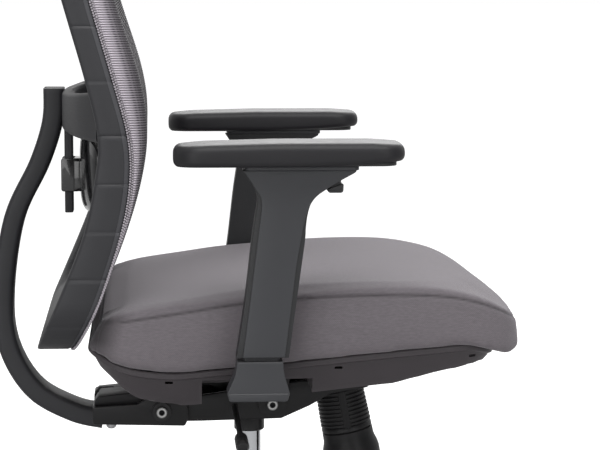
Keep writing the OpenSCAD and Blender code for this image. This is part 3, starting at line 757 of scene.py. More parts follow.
class ChairColours(bpy.types.PropertyGroup):
    """Colours that a user would change."""

    cushion: FloatVectorProperty(name="Cushion", description="Seat fabric", subtype="COLOR",
                                 default=(0.185, 0.166, 0.181))
    mesh: FloatVectorProperty(name="Mesh", description="Ribs of the back mesh", subtype="COLOR",
                              default=(0.6, 0.55, 0.605))
    frame: FloatVectorProperty(name="Back frame", description="Back frame and spine", subtype="COLOR",
                               default=(0.021, 0.021, 0.024))
    arm: FloatVectorProperty(name="Armrests", description="Armrest sleeves and brackets", subtype="COLOR",
                             default=(0.026, 0.027, 0.031))
    pad: FloatVectorProperty(name="Arm pads", description="Soft arm pads", subtype="COLOR",
                             default=(0.011, 0.0105, 0.0125))
    pan: FloatVectorProperty(name="Seat pan", description="Shell under the cushion", subtype="COLOR",
                             default=(0.046, 0.04, 0.044))
    mechanism: FloatVectorProperty(name="Mechanism", description="Tilt mechanism", subtype="COLOR",
                                   default=(0.005, 0.0047, 0.0055))
    base: FloatVectorProperty(name="Base", description="Star base and casters", subtype="COLOR",
                              default=(0.012, 0.012, 0.0135))


# ---- Pieces ---------------------------------------------------------------------------------


def outline_distance(points, outline):
    """Distance of each point from a closed outline."""
    a = outline[None]
    b = np.roll(outline, -1, axis=0)[None]
    p = points[:, None]
    along = b - a
    t = np.clip(((p - a) * along).sum(-1) / (along * along).sum(-1), 0, 1)
    return np.linalg.norm(p - (a + along * t[..., None]), axis=-1).min(1)


class CHAIR_OT_back_frame(bpy.types.Operator):
    """The moulded ring of the back, with grooves across its flanks and a painted highlight on their front
    chamfer
    """

    bl_idname = "chair.back_frame"
    bl_label = "Back frame"

    def execute(self, context):
        outline = resampled(rounded(FRAME_CORNERS, FRAME_RADII, 16), 1.8)
        normal = outward_normals(outline)
        grooves = [459.5 + 53.5 * i for i in range(5)] + [734 + 61 * i for i in range(6)]
        rows, edges = [], []
        for (y, z), (ny, nz) in zip(outline, normal):
            front, flank, rear = (line_at(line, z) for line in (MESH_LINE, FLANK_LINE, REAR_LINE))
            lift = max(front - flank, 3)
            nearest = min(abs(z - g) for g in grooves)
            on_flank = abs(ny) ** 4
            dip = 1.6 * max(0, 1 - nearest / 1.9) * on_flank
            step = 0.9 * on_flank * (((z - 459.5) / 54) % 1 if z < 673 else ((z - 673) / 61) % 1)
            out = -dip + step - 0.9
            section = [
                (out - 3, rear + 0.5), (out - 0.8, rear + 2.2), (out, rear + 5), (out, flank - 6.2),
                (out - 0.3, flank - 5.7), (out - 2.4, flank - 0.7), (-4.4, flank - 0.2), (-4.6, flank + 1.5),
                (-5, flank + 0.3 * lift), (-8, flank + 0.62 * lift - 1), (-14, flank + 0.82 * lift - 1.2),
                (-22, flank + lift - 3), (-28, flank + lift - 3.6), (-30, flank + lift - 6),
                (-30, rear + 12), (-28, rear + 5), (-22, rear + 1.5), (-12, rear),
            ]
            row = []
            for offset, x in section:
                oy, oz = y + ny * offset, z + nz * offset
                drift = line_at(FLANK_LINE, oz) - flank
                row.append((x + drift, oy, oz))
            rows.append(row)
            # The strip on the flank's front chamfer that carries the painted highlight.
            edge = []
            for offset, x in ((out - 1, flank - 5.6), (out + 0.15, flank - 5.6),
                              (out - 1.95, flank - 0.5), (-3.4, flank - 0.6)):
                oy, oz = y + ny * offset, z + nz * offset
                edge.append((x + line_at(FLANK_LINE, oz) - flank, oy, oz))
            edges.append(edge)
        rows.append(rows[0])
        edges.append(edges[0])
        ring = loft("back_frame_ring", rows)
        settle(ring, "back", FINISHES["frame_plastic"], "frame_plastic", "back_frame")
        # The chamfer strip in the lighter copy of the frame plastic: a painted highlight.
        settle(loft("flank_highlight_strip", edges), "back", FINISHES["flank_edge_highlight"], "frame_plastic")
        return {"FINISHED"}


class CHAIR_OT_back_mesh(bpy.types.Operator):
    """The ribbed net stretched over the frame, and the beading at its edge"""

    bl_idname = "chair.back_mesh"
    bl_label = "Back mesh"

    def execute(self, context):
        sizes = context.scene.chair_sizes
        outline = resampled(rounded(FRAME_CORNERS, FRAME_RADII, 16), 4)
        self.net(sizes, outline)
        self.beading(sizes)
        return {"FINISHED"}

    def net(self, sizes, outline):
        """One grid: level rows that wrap round the frame's edge at both ends."""
        edge_round = 22.0
        line = np.array([tuple(p) for p in MESH_LINE])
        line = line[(line[:, 1] > FRAME_BOTTOM) & (line[:, 1] < FRAME_TOP)]
        ends = [[(line_at(MESH_LINE, z), z)] for z in (FRAME_BOTTOM, FRAME_TOP)]
        line = np.concatenate([ends[0], line, ends[1]])
        spread = resampled(line, sizes.rib_pitch / 4, closed=False)
        heights = spread[:, 1]
        arc = np.arange(len(heights)) / 4
        side = outline[outline[:, 0] > 0]
        side = side[np.argsort(side[:, 1])]
        width = np.interp(heights, side[:, 1], side[:, 0])
        across = np.concatenate([np.linspace(0, 1, 11)[:-1], [1]])
        inner = np.maximum(width - edge_round, 10)
        rows, rib, thread, backed, rim = [], [], [], [], []
        for z, w, flat, count in zip(heights, width, inner, arc):
            half = [flat * a for a in across] + [flat + (w - flat) * (1 - (1 - math.sin(a)))
                                                for a in np.linspace(0, math.pi / 2, 9)[1:]]
            ys = np.array([-y for y in half[::-1]] + half[1:])
            points = np.stack([ys, np.full(len(ys), z)], axis=1)
            away = outline_distance(points, outline)
            away[[0, -1]] = 0
            near = np.clip(away / edge_round, 0, 1)
            front, flank = line_at(MESH_LINE, z), line_at(FLANK_LINE, z)
            lift = max(front - flank, 3)
            lift -= min(4.8, 0.55 * lift)
            drop = 0.82 * lift * (1 - np.sqrt(1 - (1 - near) ** 2))
            xs = front - drop
            wall = [(0.9, 0), (1.0, 0.5), (1.0, 3.5)]
            tail = [(front - lift * t, -w + tuck, z) for t, tuck in wall[::-1]]
            head = [(front - lift * t, w - tuck, z) for t, tuck in wall]
            rows.append(tail + [(x, y, z) for x, y in zip(xs, ys)] + head)
            rib.append([count] * len(rows[-1]))
            thread.append([p[1] / 3.2 for p in rows[-1]])
            backed.append([1.0] * 3 + list(np.clip((75 - away) / 30, 0, 1)) + [1.0] * 3)
            # 'rim' marks the wrapped edge for the painted shade on the mesh: 0 across the front, 1 round the
            # edge.
            rim.append([1.0] * 3 + list(np.clip(drop / (0.82 * lift), 0, 1) ** 1.3) + [1.0] * 3)
        for at, z in ((0, FRAME_BOTTOM), (-1, FRAME_TOP)):
            edge = rows[at]
            lift = max(line_at(MESH_LINE, z) - line_at(FLANK_LINE, z), 3)
            back = line_at(MESH_LINE, z) - lift * 0.5
            extra = [[(x + (back - x) * t, y, q) for x, y, q in edge] for t in (0.4, 1.0)]
            if at == 0:
                rows = extra[::-1] + rows
                rib, thread, backed, rim = (v[:1] * 2 + v for v in (rib, thread, backed, rim))
            else:
                rows = rows + extra
                rib, thread, backed, rim = (v + v[-1:] * 2 for v in (rib, thread, backed, rim))
        net = self.plain_grid("back_net", rows)
        for key, values in (("rib", rib), ("thread", thread), ("backed", backed), ("rim", rim)):
            attribute = net.data.attributes.new(key, "FLOAT", "POINT")
            attribute.data.foreach_set("value", np.array(values, np.float32).ravel())
        count = len(net.data.vertices)
        co, normal = np.empty(count * 3), np.empty(count * 3)
        net.data.vertices.foreach_get("co", co)
        net.data.vertices.foreach_get("normal", normal)
        ridge = 0.35 * MM * np.sin(FULL_TURN * np.array(rib).ravel())
        co = co.reshape(-1, 3) + normal.reshape(-1, 3) * ridge[:, None]
        net.data.vertices.foreach_set("co", co.ravel())
        net.data.update()
        pick(net)
        bpy.ops.object.shade_smooth()
        settle(net, "back", FINISHES["back_mesh"], "back_mesh", "back_mesh")

    def plain_grid(self, name, rows):
        """A grid drawn out to rows of points, facing forward."""
        rows = np.array(rows, float)
        deselect()
        bpy.ops.mesh.primitive_grid_add(x_subdivisions=rows.shape[1] - 1,
                                        y_subdivisions=rows.shape[0] - 1)
        piece = named(name)
        piece.data.vertices.foreach_set("co", (rows * MM).ravel())
        piece.data.update()
        middle = piece.data.polygons[len(piece.data.polygons) // 2]
        if middle.normal.x < 0:
            piece.data.flip_normals()
        return piece

    def beading(self, sizes):
        """Two rows of small beads along the edge of the frame's flank."""
        outline = resampled(rounded(FRAME_CORNERS, FRAME_RADII, 16), sizes.bead_pitch / 4)
        normal = outward_normals(outline)
        phase = np.arange(len(outline)) / 4
        rows = []
        reach = np.clip(line_at(MESH_LINE, outline[:, 1]) - line_at(FLANK_LINE, outline[:, 1]), 3, 9) / 9
        for k, (ahead, stagger) in enumerate(((1.4, 0.0), (3.9, 0.5))):
            x = line_at(FLANK_LINE, outline[:, 1]) + ahead * reach
            # 'crown' is 1 at each bead's middle and 0 between beads: it sets the radius and the painted shade
            # in the gaps.
            crown = np.abs(np.sin(math.pi * (phase + stagger)))
            path = np.column_stack([x, outline - 0.7 * normal])
            bead = tube(f"edge_beads_{k + 1}", path, 0.6 + 0.8 * crown, sides=7, closed=True)
            near = np.tile(np.repeat(crown, 7), 1)
            attribute = bead.data.attributes.new("crown", "FLOAT", "POINT")
            values = np.resize(near, len(bead.data.vertices))
            attribute.data.foreach_set("value", values.astype(np.float32))
            rows.append(bead)
        settle(joined("edge_beading", rows), "back", FINISHES["edge_beading"], "back_mesh")


class CHAIR_OT_back_support(bpy.types.Operator):
    """The curved spine, the crossbar, the lumbar rail and the glossy lumbar piece"""

    bl_idname = "chair.back_support"
    bl_label = "Back support"

    def execute(self, context):
        self.spine()
        self.crossbar()
        self.lumbar()
        return {"FINISHED"}

    def spine(self):
        """A bar of rounded section that thins towards its top, with a shallow channel behind."""
        rows = []
        curve = resampled(SPINE_CURVE, 6, closed=False)
        along = np.gradient(curve, axis=0)
        along /= np.linalg.norm(along, axis=1)[:, None]
        for i, ((x, z), (ax, az)) in enumerate(zip(curve, along)):
            t = i / (len(curve) - 1)
            half_w, half_t = 28 - 3 * math.sin(math.pi * t), 12
            section = rounded([(-half_w, -half_t), (half_w, -half_t), (half_w, half_t), (8, half_t),
                               (6, half_t - 3), (-6, half_t - 3), (-8, half_t), (-half_w, half_t)],
                              [6, 6, 6, 1.5, 1.5, 1.5, 1.5, 6], 4)
            rows.append([(x - az * n, y, z + ax * n) for y, n in section])
        spine = loft("spine_bar", capped(rows))
        settle(spine, "back", FINISHES["frame_plastic"], "frame_plastic", "back_spine")

    def crossbar(self):
        """A bowed bar between the two flanks, deeper at its ends."""
        half = smooth([(-172, 212), (-196, 160), (-212, 80), (-217, 0)], 8)
        path = [tuple(p) for p in half] + [(p[0], -p[1]) for p in reversed(half[:-1])]
        path = resampled(path, 6, closed=False)
        along = np.gradient(path, axis=0)
        along /= np.linalg.norm(along, axis=1)[:, None]
        rows = []
        for (x, y), (ax, ay) in zip(path, along):
            flare = (abs(y) / 212) ** 3
            low, high = 668 - 4 * flare, 714 + 8 * flare
            section = rounded([(-8, low), (8, low), (8, high), (-8, high)], [5, 5, 5, 5], 4)
            rows.append([(x - ay * n, y + ax * n, z) for n, z in section])
        bar = loft("cross_bar", capped(rows))
        settle(bar, "back", FINISHES["frame_plastic"], "frame_plastic", "back_crossbar")
        rail = slab("lumbar_track", rounded([(-222, -14), (-212, -14), (-212, 14), (-222, 14)], [2] * 4),
                    "Z", 566, 668, 1.2)
        settle(rail, "back", FINISHES["frame_plastic"], "frame_plastic", "lumbar_rail")

    def lumbar(self):
        """A crowned glossy pad with its slider behind."""
        rows = []
        for i in range(41):
            t = i / 20 - 1
            y = 112 * t
            x = -193 + 15 * t * t
            half_h = 50 * (1 - abs(t) ** 3.2) ** (1 / 3.2) if abs(t) < 1 else 0
            half_t = 11 * (1 - abs(t) ** 4) ** 0.5 if abs(t) < 1 else 0
            row = []
            for k in range(28):
                a = FULL_TURN * k / 28
                c, s = math.cos(a), math.sin(a)
                row.append((x + half_t * math.copysign(abs(c) ** 0.8, c), y,
                            620 + half_h * math.copysign(abs(s) ** 0.55, s)))
            rows.append(row)
        pad = loft("lumbar_shell", rows)
        grip = slab("lumbar_slider", rounded([(-22, 592), (22, 592), (22, 632), (-22, 632)], [5] * 4),
                    "X", -211, -196, 1.5)
        left = slab("slider_hook", rounded([(-226, 592), (-204, 592), (-204, 632), (-226, 632)], [3] * 4),
                    "Y", 14.6, 20, 1)
        right = copied(left, "slider_hook_2", Matrix.Scale(-1, 4, (0, 1, 0)))
        settle(joined("lumbar_piece", [pad, grip, left, right]), "lumbar", FINISHES["gloss_black"],
               "gloss_black", "lumbar_pad")


class CHAIR_OT_cushion(bpy.types.Operator):
    """The padded seat cushion, swollen by a cloth simulation, with its seams"""

    bl_idname = "chair.cushion"
    bl_label = "Cushion"

    def execute(self, context):
        sizes = context.scene.chair_sizes
        node = frame["nodes"]["seat_cushion"]
        pick(node)
        bpy.ops.object.duplicate()
        cushion = named("seat_cushion_cover")
        for key in list(cushion.keys()):
            del cushion[key]
        cushion.parent = None
        clean(cushion)
        self.shrink(cushion, 3)
        add_modifier(cushion, "REMESH", mode="VOXEL", voxel_size=0.005)
        add_modifier(cushion, "SMOOTH", factor=0.5, iterations=14)
        self.swell(context, cushion, sizes.cushion_swell)
        add_modifier(cushion, "SUBSURF", levels=1, render_levels=1)
        self.seams(cushion, sizes.seam_drop)
        pick(cushion)
        bpy.ops.object.mode_set(mode="EDIT")
        bpy.ops.mesh.select_all(action="SELECT")
        bpy.ops.uv.cube_project(cube_size=1.0, correct_aspect=False, scale_to_bounds=False)
        bpy.ops.object.mode_set(mode="OBJECT")
        bpy.ops.object.shade_smooth()
        settle(cushion, "seat", FINISHES["seat_fabric"], "seat_fabric", "seat_cushion")
        return {"FINISHED"}

    def shrink(self, cushion, margin):
        """Draws the cover in from its finished outline, except underneath, and lengthens its rear."""
        rear_start, rear_length, rear_stretch = -0.11, 0.07, 8 * MM
        low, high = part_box("seat_cushion")
        middle = (low + high) / 2
        half = (high - low) / 2
        for vertex in cushion.data.vertices:
            for axis in (0, 1):
                share = 1 - margin * MM / half[axis]
                vertex.co[axis] = middle[axis] + (vertex.co[axis] - middle[axis]) * share
            rise = (vertex.co.z - low.z) / (high.z - low.z)
            tail = min(max((rear_start - vertex.co.x) / rear_length, 0), 1)
            vertex.co.x -= rear_stretch * tail * (1 - 0.45 * rise)
            vertex.co.z -= margin * MM * rise

    def swell(self, context, cushion, cap):
        """Fills the cover by pressure, and caps how far it moves."""
        held_height, frames = 0.006, 20
        start = np.array([v.co for v in cushion.data.vertices])
        held = cushion.vertex_groups.new(name="held")
        floor = curve_at(RIM_CURVE, start[:, 0] / MM) * MM + held_height
        held.add([int(i) for i in np.nonzero(start[:, 2] < floor)[0]], 1.0, "REPLACE")
        pick(cushion)
        bpy.ops.object.modifier_add(type="CLOTH")
        cloth = cushion.modifiers[-1]
        cloth.settings.use_pressure = True
        cloth.settings.uniform_pressure_force = 3.0
        cloth.settings.effector_weights.gravity = 0.0
        cloth.settings.vertex_group_mass = "held"
        cloth.settings.tension_stiffness = 30
        cloth.settings.compression_stiffness = 30
        cloth.settings.bending_stiffness = 8
        cloth.settings.quality = 5
        cloth.collision_settings.use_collision = False
        for number in range(1, frames + 1):
            context.scene.frame_set(number)
        bpy.ops.object.modifier_apply(modifier=cloth.name)
        end = np.array([v.co for v in cushion.data.vertices])
        move = self.evened(cushion.data, end - start)
        length = np.linalg.norm(move, axis=1)
        scale = np.minimum(1, cap * MM / np.maximum(length, 1e-9))
        cushion.data.vertices.foreach_set("co", (start + move * scale[:, None]).ravel())
        cushion.data.update()
        cushion.vertex_groups.clear()
        context.scene.frame_set(1)

    def evened(self, mesh, move, rounds=60):
        """Spreads a movement over its neighbours, so that the cover swells without wrinkles."""
        pairs = np.array([edge.vertices for edge in mesh.edges])
        a, b = np.concatenate([pairs[:, 0], pairs[:, 1]]), np.concatenate([pairs[:, 1], pairs[:, 0]])
        near = np.maximum(np.bincount(a, minlength=len(move)), 1)[:, None]
        for _ in range(rounds):
            total = np.stack([np.bincount(a, move[b, axis], len(move)) for axis in range(3)], axis=1)
            move = 0.5 * move + 0.5 * total / near
        return move

    def seams(self, cushion, drop):
        """Sinks a seam round the side and one down each rear corner with a hollow beside it, darkens the
        seams, and paints a shadow on each rear corner.
        """
        seam_half, seam_depth, hollow_depth = 2.4, 1.3, 2.4
        mesh = cushion.data
        count = len(mesh.vertices)
        co, normal = np.empty(count * 3), np.empty(count * 3)
        mesh.vertices.foreach_get("co", co)
        mesh.vertices.foreach_get("normal", normal)
        co, normal = co.reshape(-1, 3) / MM, normal.reshape(-1, 3)
        top = smooth([(-196, 470), (-176, 474), (-88, 487), (-19, 497), (90, 505), (186, 505), (236, 499),
                      (272, 487), (306, 467), (330, 452)], 8)
        level = curve_at(top, co[:, 0]) - drop
        side = np.abs(normal[:, 2]) < 0.75
        fall = np.abs(co[:, 2] - level)
        seam = np.where(side, np.clip(1 - fall / seam_half, 0, 1), 0)
        corner_line = smooth([(-158, 479), (-171.6, 467.8), (-179.4, 452.4), (-182.6, 433), (-183, 415)], 6)
        flank = (np.abs(co[:, 1]) > 180) & (co[:, 2] < level + drop + 3) & (co[:, 0] < -80)
        ahead = co[:, 0] - line_at(corner_line[::-1], co[:, 2])
        seam = np.maximum(seam, np.where(flank, np.clip(1 - np.abs(ahead) / seam_half, 0, 1), 0))
        hollow = np.clip(1 - np.abs(ahead - 9) / 13, 0, 1) * np.clip((level + drop - co[:, 2]) / 9, 0, 1)
        hollow = np.where(flank, hollow**2 * (3 - 2 * hollow), 0)
        # Painted shadow over each rear corner, where the back frame shades it: full behind the corner seam,
        # fading out over about 26 mm ahead of it and towards the bottom.
        shade = np.clip(1.1 - ahead / 26, 0, 1) * np.clip((co[:, 2] - 418) / 26, 0, 1)
        shade = np.where(flank, shade * np.clip((level + drop - co[:, 2]) / 7, 0, 1), 0)
        co -= normal * (hollow * hollow_depth)[:, None]
        co -= normal * (seam * seam_depth)[:, None]
        mesh.vertices.foreach_set("co", (co * MM).ravel())
        # The 'seam' attribute holds the dark seam lines and the painted shadow on the rear corners.
        attribute = mesh.attributes.new("seam", "FLOAT", "POINT")
        attribute.data.foreach_set("value", np.maximum(seam * 0.8, shade).astype(np.float32))
        mesh.update()


class CHAIR_OT_seat_pan(bpy.types.Operator):
    """The moulded shell under the cushion, with its lip, slots and recesses"""

    bl_idname = "chair.seat_pan"
    bl_label = "Seat pan"

    def execute(self, context):
        plan = resampled(seat_plan(239, -191, 270, 8, 50), 5)
        normal = outward_normals(plan)

        def ring(inset, height):
            row = []
            for (x, y), (nx, ny) in zip(plan, normal):
                px, py = x - nx * inset, y - ny * inset
                row.append((px, py, height(x, px)))
            return row

        def under(x, px):
            return float(curve_at(PAN_UNDER, px))

        def rim(drop):
            return lambda x, px: float(curve_at(RIM_CURVE, x)) - drop

        def wall(fall):
            """Down from the lip, but no lower than the underside."""
            def height(x, px):
                top = float(curve_at(RIM_CURVE, x)) - 9
                return max(min(float(curve_at(PAN_UNDER, px)), top - 0.5), top - fall)
            return height

        lip = ((40, 3), (6, 2.5), (1.5, 0.8), (0, 2.2), (-0.4, 5), (0.2, 7.5), (2.6, 8.6), (4.6, 9.4))
        flank = ((5.8, 2.4), (8.6, 8), (11.6, 14), (14.8, 20.5), (18.2, 27), (22, 33), (27, 39), (34, 46))
        rows = [ring(inset, rim(drop)) for inset, drop in lip]
        rows += [ring(inset, wall(fall)) for inset, fall in flank] + [ring(46, under)]
        top_cap = [[(40, 0, 412)] * len(plan)]
        pan_floor = [[(40 + (p[0] - 40) * s, p[1] * s, float(curve_at(PAN_UNDER, 40 + (p[0] - 40) * s)))
                      for p in rows[-1]] for s in (0.75, 0.4)]
        low_cap = [[(40, 0, float(curve_at(PAN_UNDER, 40)))] * len(plan)]
        pan = loft("seat_shell", top_cap + rows + pan_floor + low_cap)
        cutters = [self.box_cutter((-210, 152), (-82, 82), (340, 375.2))]
        for side in (-1, 1):
            span = sorted((side * 94, side * 260))
            cutters.append(self.box_cutter((-63, 62), span, (340, 398.3)))
            for x, z, w in ((-100, 396, 9), (91, 411, 9), (244, 421.5, 8)):
                span = sorted((side * 214, side * 250))
                cutters.append(self.box_cutter((x - w / 2, x + w / 2), span, (z - 1.6, z + 1.6)))
        cut(pan, cutters)
        pick(pan)
        bpy.ops.object.shade_smooth_by_angle(angle=math.radians(32))
        settle(pan, "seat", FINISHES["pan_plastic"], "pan_plastic", "seat_pan")
        return {"FINISHED"}

    def box_cutter(self, xs, ys, zs):
        outline = rounded([(xs[0], zs[0]), (xs[1], zs[0]), (xs[1], zs[1]), (xs[0], zs[1])],
                          [min(1.2, (zs[1] - zs[0]) / 3)] * 4, 3)
        return slab("cutter", outline, "Y", ys[0], ys[1], 0)


class CHAIR_OT_armrests(bpy.types.Operator):
    """Brackets, posts, sleeves, buttons, carriers and soft pads, right and left"""

    bl_idname = "chair.armrests"
    bl_label = "Armrests"

    def execute(self, context):
        right = {
            "bracket": (self.bracket(), "seat", "arm_plastic", "arm_plastic", ["arm_bracket"]),
            # Sleeves, buttons and pad cores take the shaded copy of the armrest plastic, as painted shade;
            # the outer faces take the plain one.
            "sleeve": (self.sleeve(), "arm", "arm_plastic_shaded", "arm_plastic", ["arm_sleeve"]),
            "face": (self.face(), "arm", "arm_plastic", "arm_plastic", []),
            "button": (self.button(), "button", "arm_plastic_shaded", "mech_plastic", ["arm_button"]),
            "carrier": (self.carrier(), "slide", "arm_plastic", "arm_plastic", ["pad_carrier"]),
            "pad_core": (self.pad_core(), "pad", "arm_plastic_shaded", "mech_plastic", ["pad_base"]),
            "soft_pad": (self.soft_pad(), "pad", "pad_foam", "pad_foam", ["arm_pad"]),
        }
        mirror = Matrix.Scale(-1, 4, (0, 1, 0))
        for key, (piece, body, finish, slot, nodes) in right.items():
            for side in ("R", "L"):
                made = piece if side == "R" else copied(piece, key, mirror)
                made.name = f"arm_{key}_{side}" if "pad" not in key else f"{key}_{side}"
                made.data.name = made.name
                home = body if body == "seat" else f"{body}_{side}"
                settle(made, home, FINISHES[finish], slot, *[f"{n}_{side}" for n in nodes])
        return {"FINISHED"}

    def bracket(self):
        socket = (smooth([(-26, 430), (-27, 421.5), (-29.2, 413), (-33.4, 403.5), (-36.4, 396),
                          (-36, 392.5), (-33.5, 387)], 5)
                  + smooth([(28.5, 387), (31, 392.5), (31.4, 396), (29.6, 403), (26.8, 412.5),
                            (25.2, 421), (24.5, 430)], 5))
        cup = slab("socket", socket, "Y", -302.5, -268, 2.6, 4)
        brim = rounded([(-36.6, 395.4), (-34.2, 386.4), (29.2, 386.4), (31.6, 395.4)], [2, 3, 3, 2])
        lip = slab("lip", brim, "Y", -303.4, -300, 1.2)
        flat = rounded([(-28, 388), (22, 388), (22, 398), (-28, 398)], [2] * 4)
        bar = slab("bar", flat, "Y", -270, -100, 1)
        return joined("bracket", [cup, lip, bar])

    def sleeve(self):
        rear = smooth([(-26.5, 434), (-16.7, 497), (-9, 562), (-3.7, 598), (-2.6, 610), (-6, 620), (-13, 631),
                       (-19, 640)], 5)
        front = smooth([(105, 640), (103, 637), (91, 631), (76, 621.5), (68, 616.4), (61, 611), (55, 603),
                        (51.4, 591), (49.6, 577), (48.5, 562), (41.2, 509), (31, 434)], 5)
        body = slab("sleeve", rear + front, "Y", -297.4, -268, 1.6)
        pocket = slab("cutter", [(75.2, 600), (89.8, 600), (89.8, 639), (75.2, 639)], "Y", -292.8, -277.2, 0)
        recess = slab("cutter", [(73, 600), (91.6, 600), (91.6, 629.2), (73, 622.4)], "Y", -296.6, -273.4, 0)
        return cut(body, [pocket, recess])

    def face(self):
        """The proud outer face, which covers the whole width at its top."""
        rear = smooth([(-19.4, 435), (-11, 499), (-1.6, 574), (1.6, 600), (0.6, 610.5), (-4.6, 619.8),
                       (-11.5, 630.5), (-17.6, 639.6)], 5)
        front = smooth([(104.4, 639.6), (102.4, 637), (90.6, 630.6), (76, 622.2), (66.5, 616.2), (59, 609.5),
                        (52.4, 599), (47.6, 583), (44.5, 567), (39, 536), (34.3, 498), (26.3, 435)], 5)
        return slab("face", rear + front, "Y", -300.6, -296, 1.6)

    def button(self):
        lip = slab("lip", rounded([(73.5, 615), (90.5, 615), (91, 625), (73.5, 618.5)], [3, 3, 1, 1]),
                   "Y", -295.6, -274, 1.4)
        stem = slab("stem", [(76.6, 616), (88.4, 616), (88.4, 633), (76.6, 633)], "Y", -291.4, -278.6, 0.5)
        return joined("button", [lip, stem])

    def carrier(self):
        plan = rounded([(-17, -305), (107, -309), (107, -261), (-17, -265)], [7] * 4)
        return slab("plate", plan, "Z", 640.4, 645, 1)

    def pad_rows(self, inset, top_line, low_line, round_top, round_low):
        """Sections across the pad, along its length: a rounded box with a crowned top."""
        rear, front, corner = -94.5 + inset, 157 - inset, 27 - inset
        rows = []
        for i in range(57):
            x = (rear + front) / 2 - (front - rear) / 2 * math.cos(math.pi * i / 56)
            end = min(x - rear, front - x)
            top, low = float(curve_at(top_line, x)), float(curve_at(low_line, x))
            half_w = 43 - inset - 2.5 * max(0, 1 - (x - rear) / 90) ** 2
            if end < corner:
                half_w -= corner - math.sqrt(corner**2 - (corner - end) ** 2)
            if end < round_top:
                top -= round_top - math.sqrt(round_top**2 - (round_top - end) ** 2)
            if end < round_low:
                low += round_low - math.sqrt(round_low**2 - (round_low - end) ** 2)
            tall = top - low
            r_top, r_low = min(round_top, tall * 0.52), min(round_low, tall * 0.42)
            section = rounded([(half_w, low), (half_w, top), (-half_w, top), (-half_w, low)],
                              [r_low, r_top, r_top, r_low], 6)
            flat = [(half_w - r_top) * (1 - 2 * k / 9) for k in range(1, 9)]
            section[14:14] = [Vector((y, top)) for y in flat]
            row = []
            for y, z in section:
                share = (z - low) / max(tall, 1e-6)
                crown = 1.6 * (1 - (y / half_w) ** 2) * max(0, share) ** 3
                bulge = 1 + 0.012 * math.sin(math.pi * min(max(share, 0), 1))
                row.append((x, -285 + y * bulge, z + crown))
            rows.append(row)
        return capped(rows)

    def pad_core(self):
        flat = [(-100, 645.6), (170, 645.6)]
        return loft("core", self.pad_rows(9, [(-100, 650), (170, 650)], flat, 1, 1))

    def soft_pad(self):
        top = [(-94, 666.5), (-60, 669), (20, 670.8), (120, 670.6), (157, 668.5)]
        low = [(-94, 645.3), (39, 645.3), (107, 647.5), (157, 651.5)]
        return loft("soft", self.pad_rows(0, top, low, 8.5, 6))


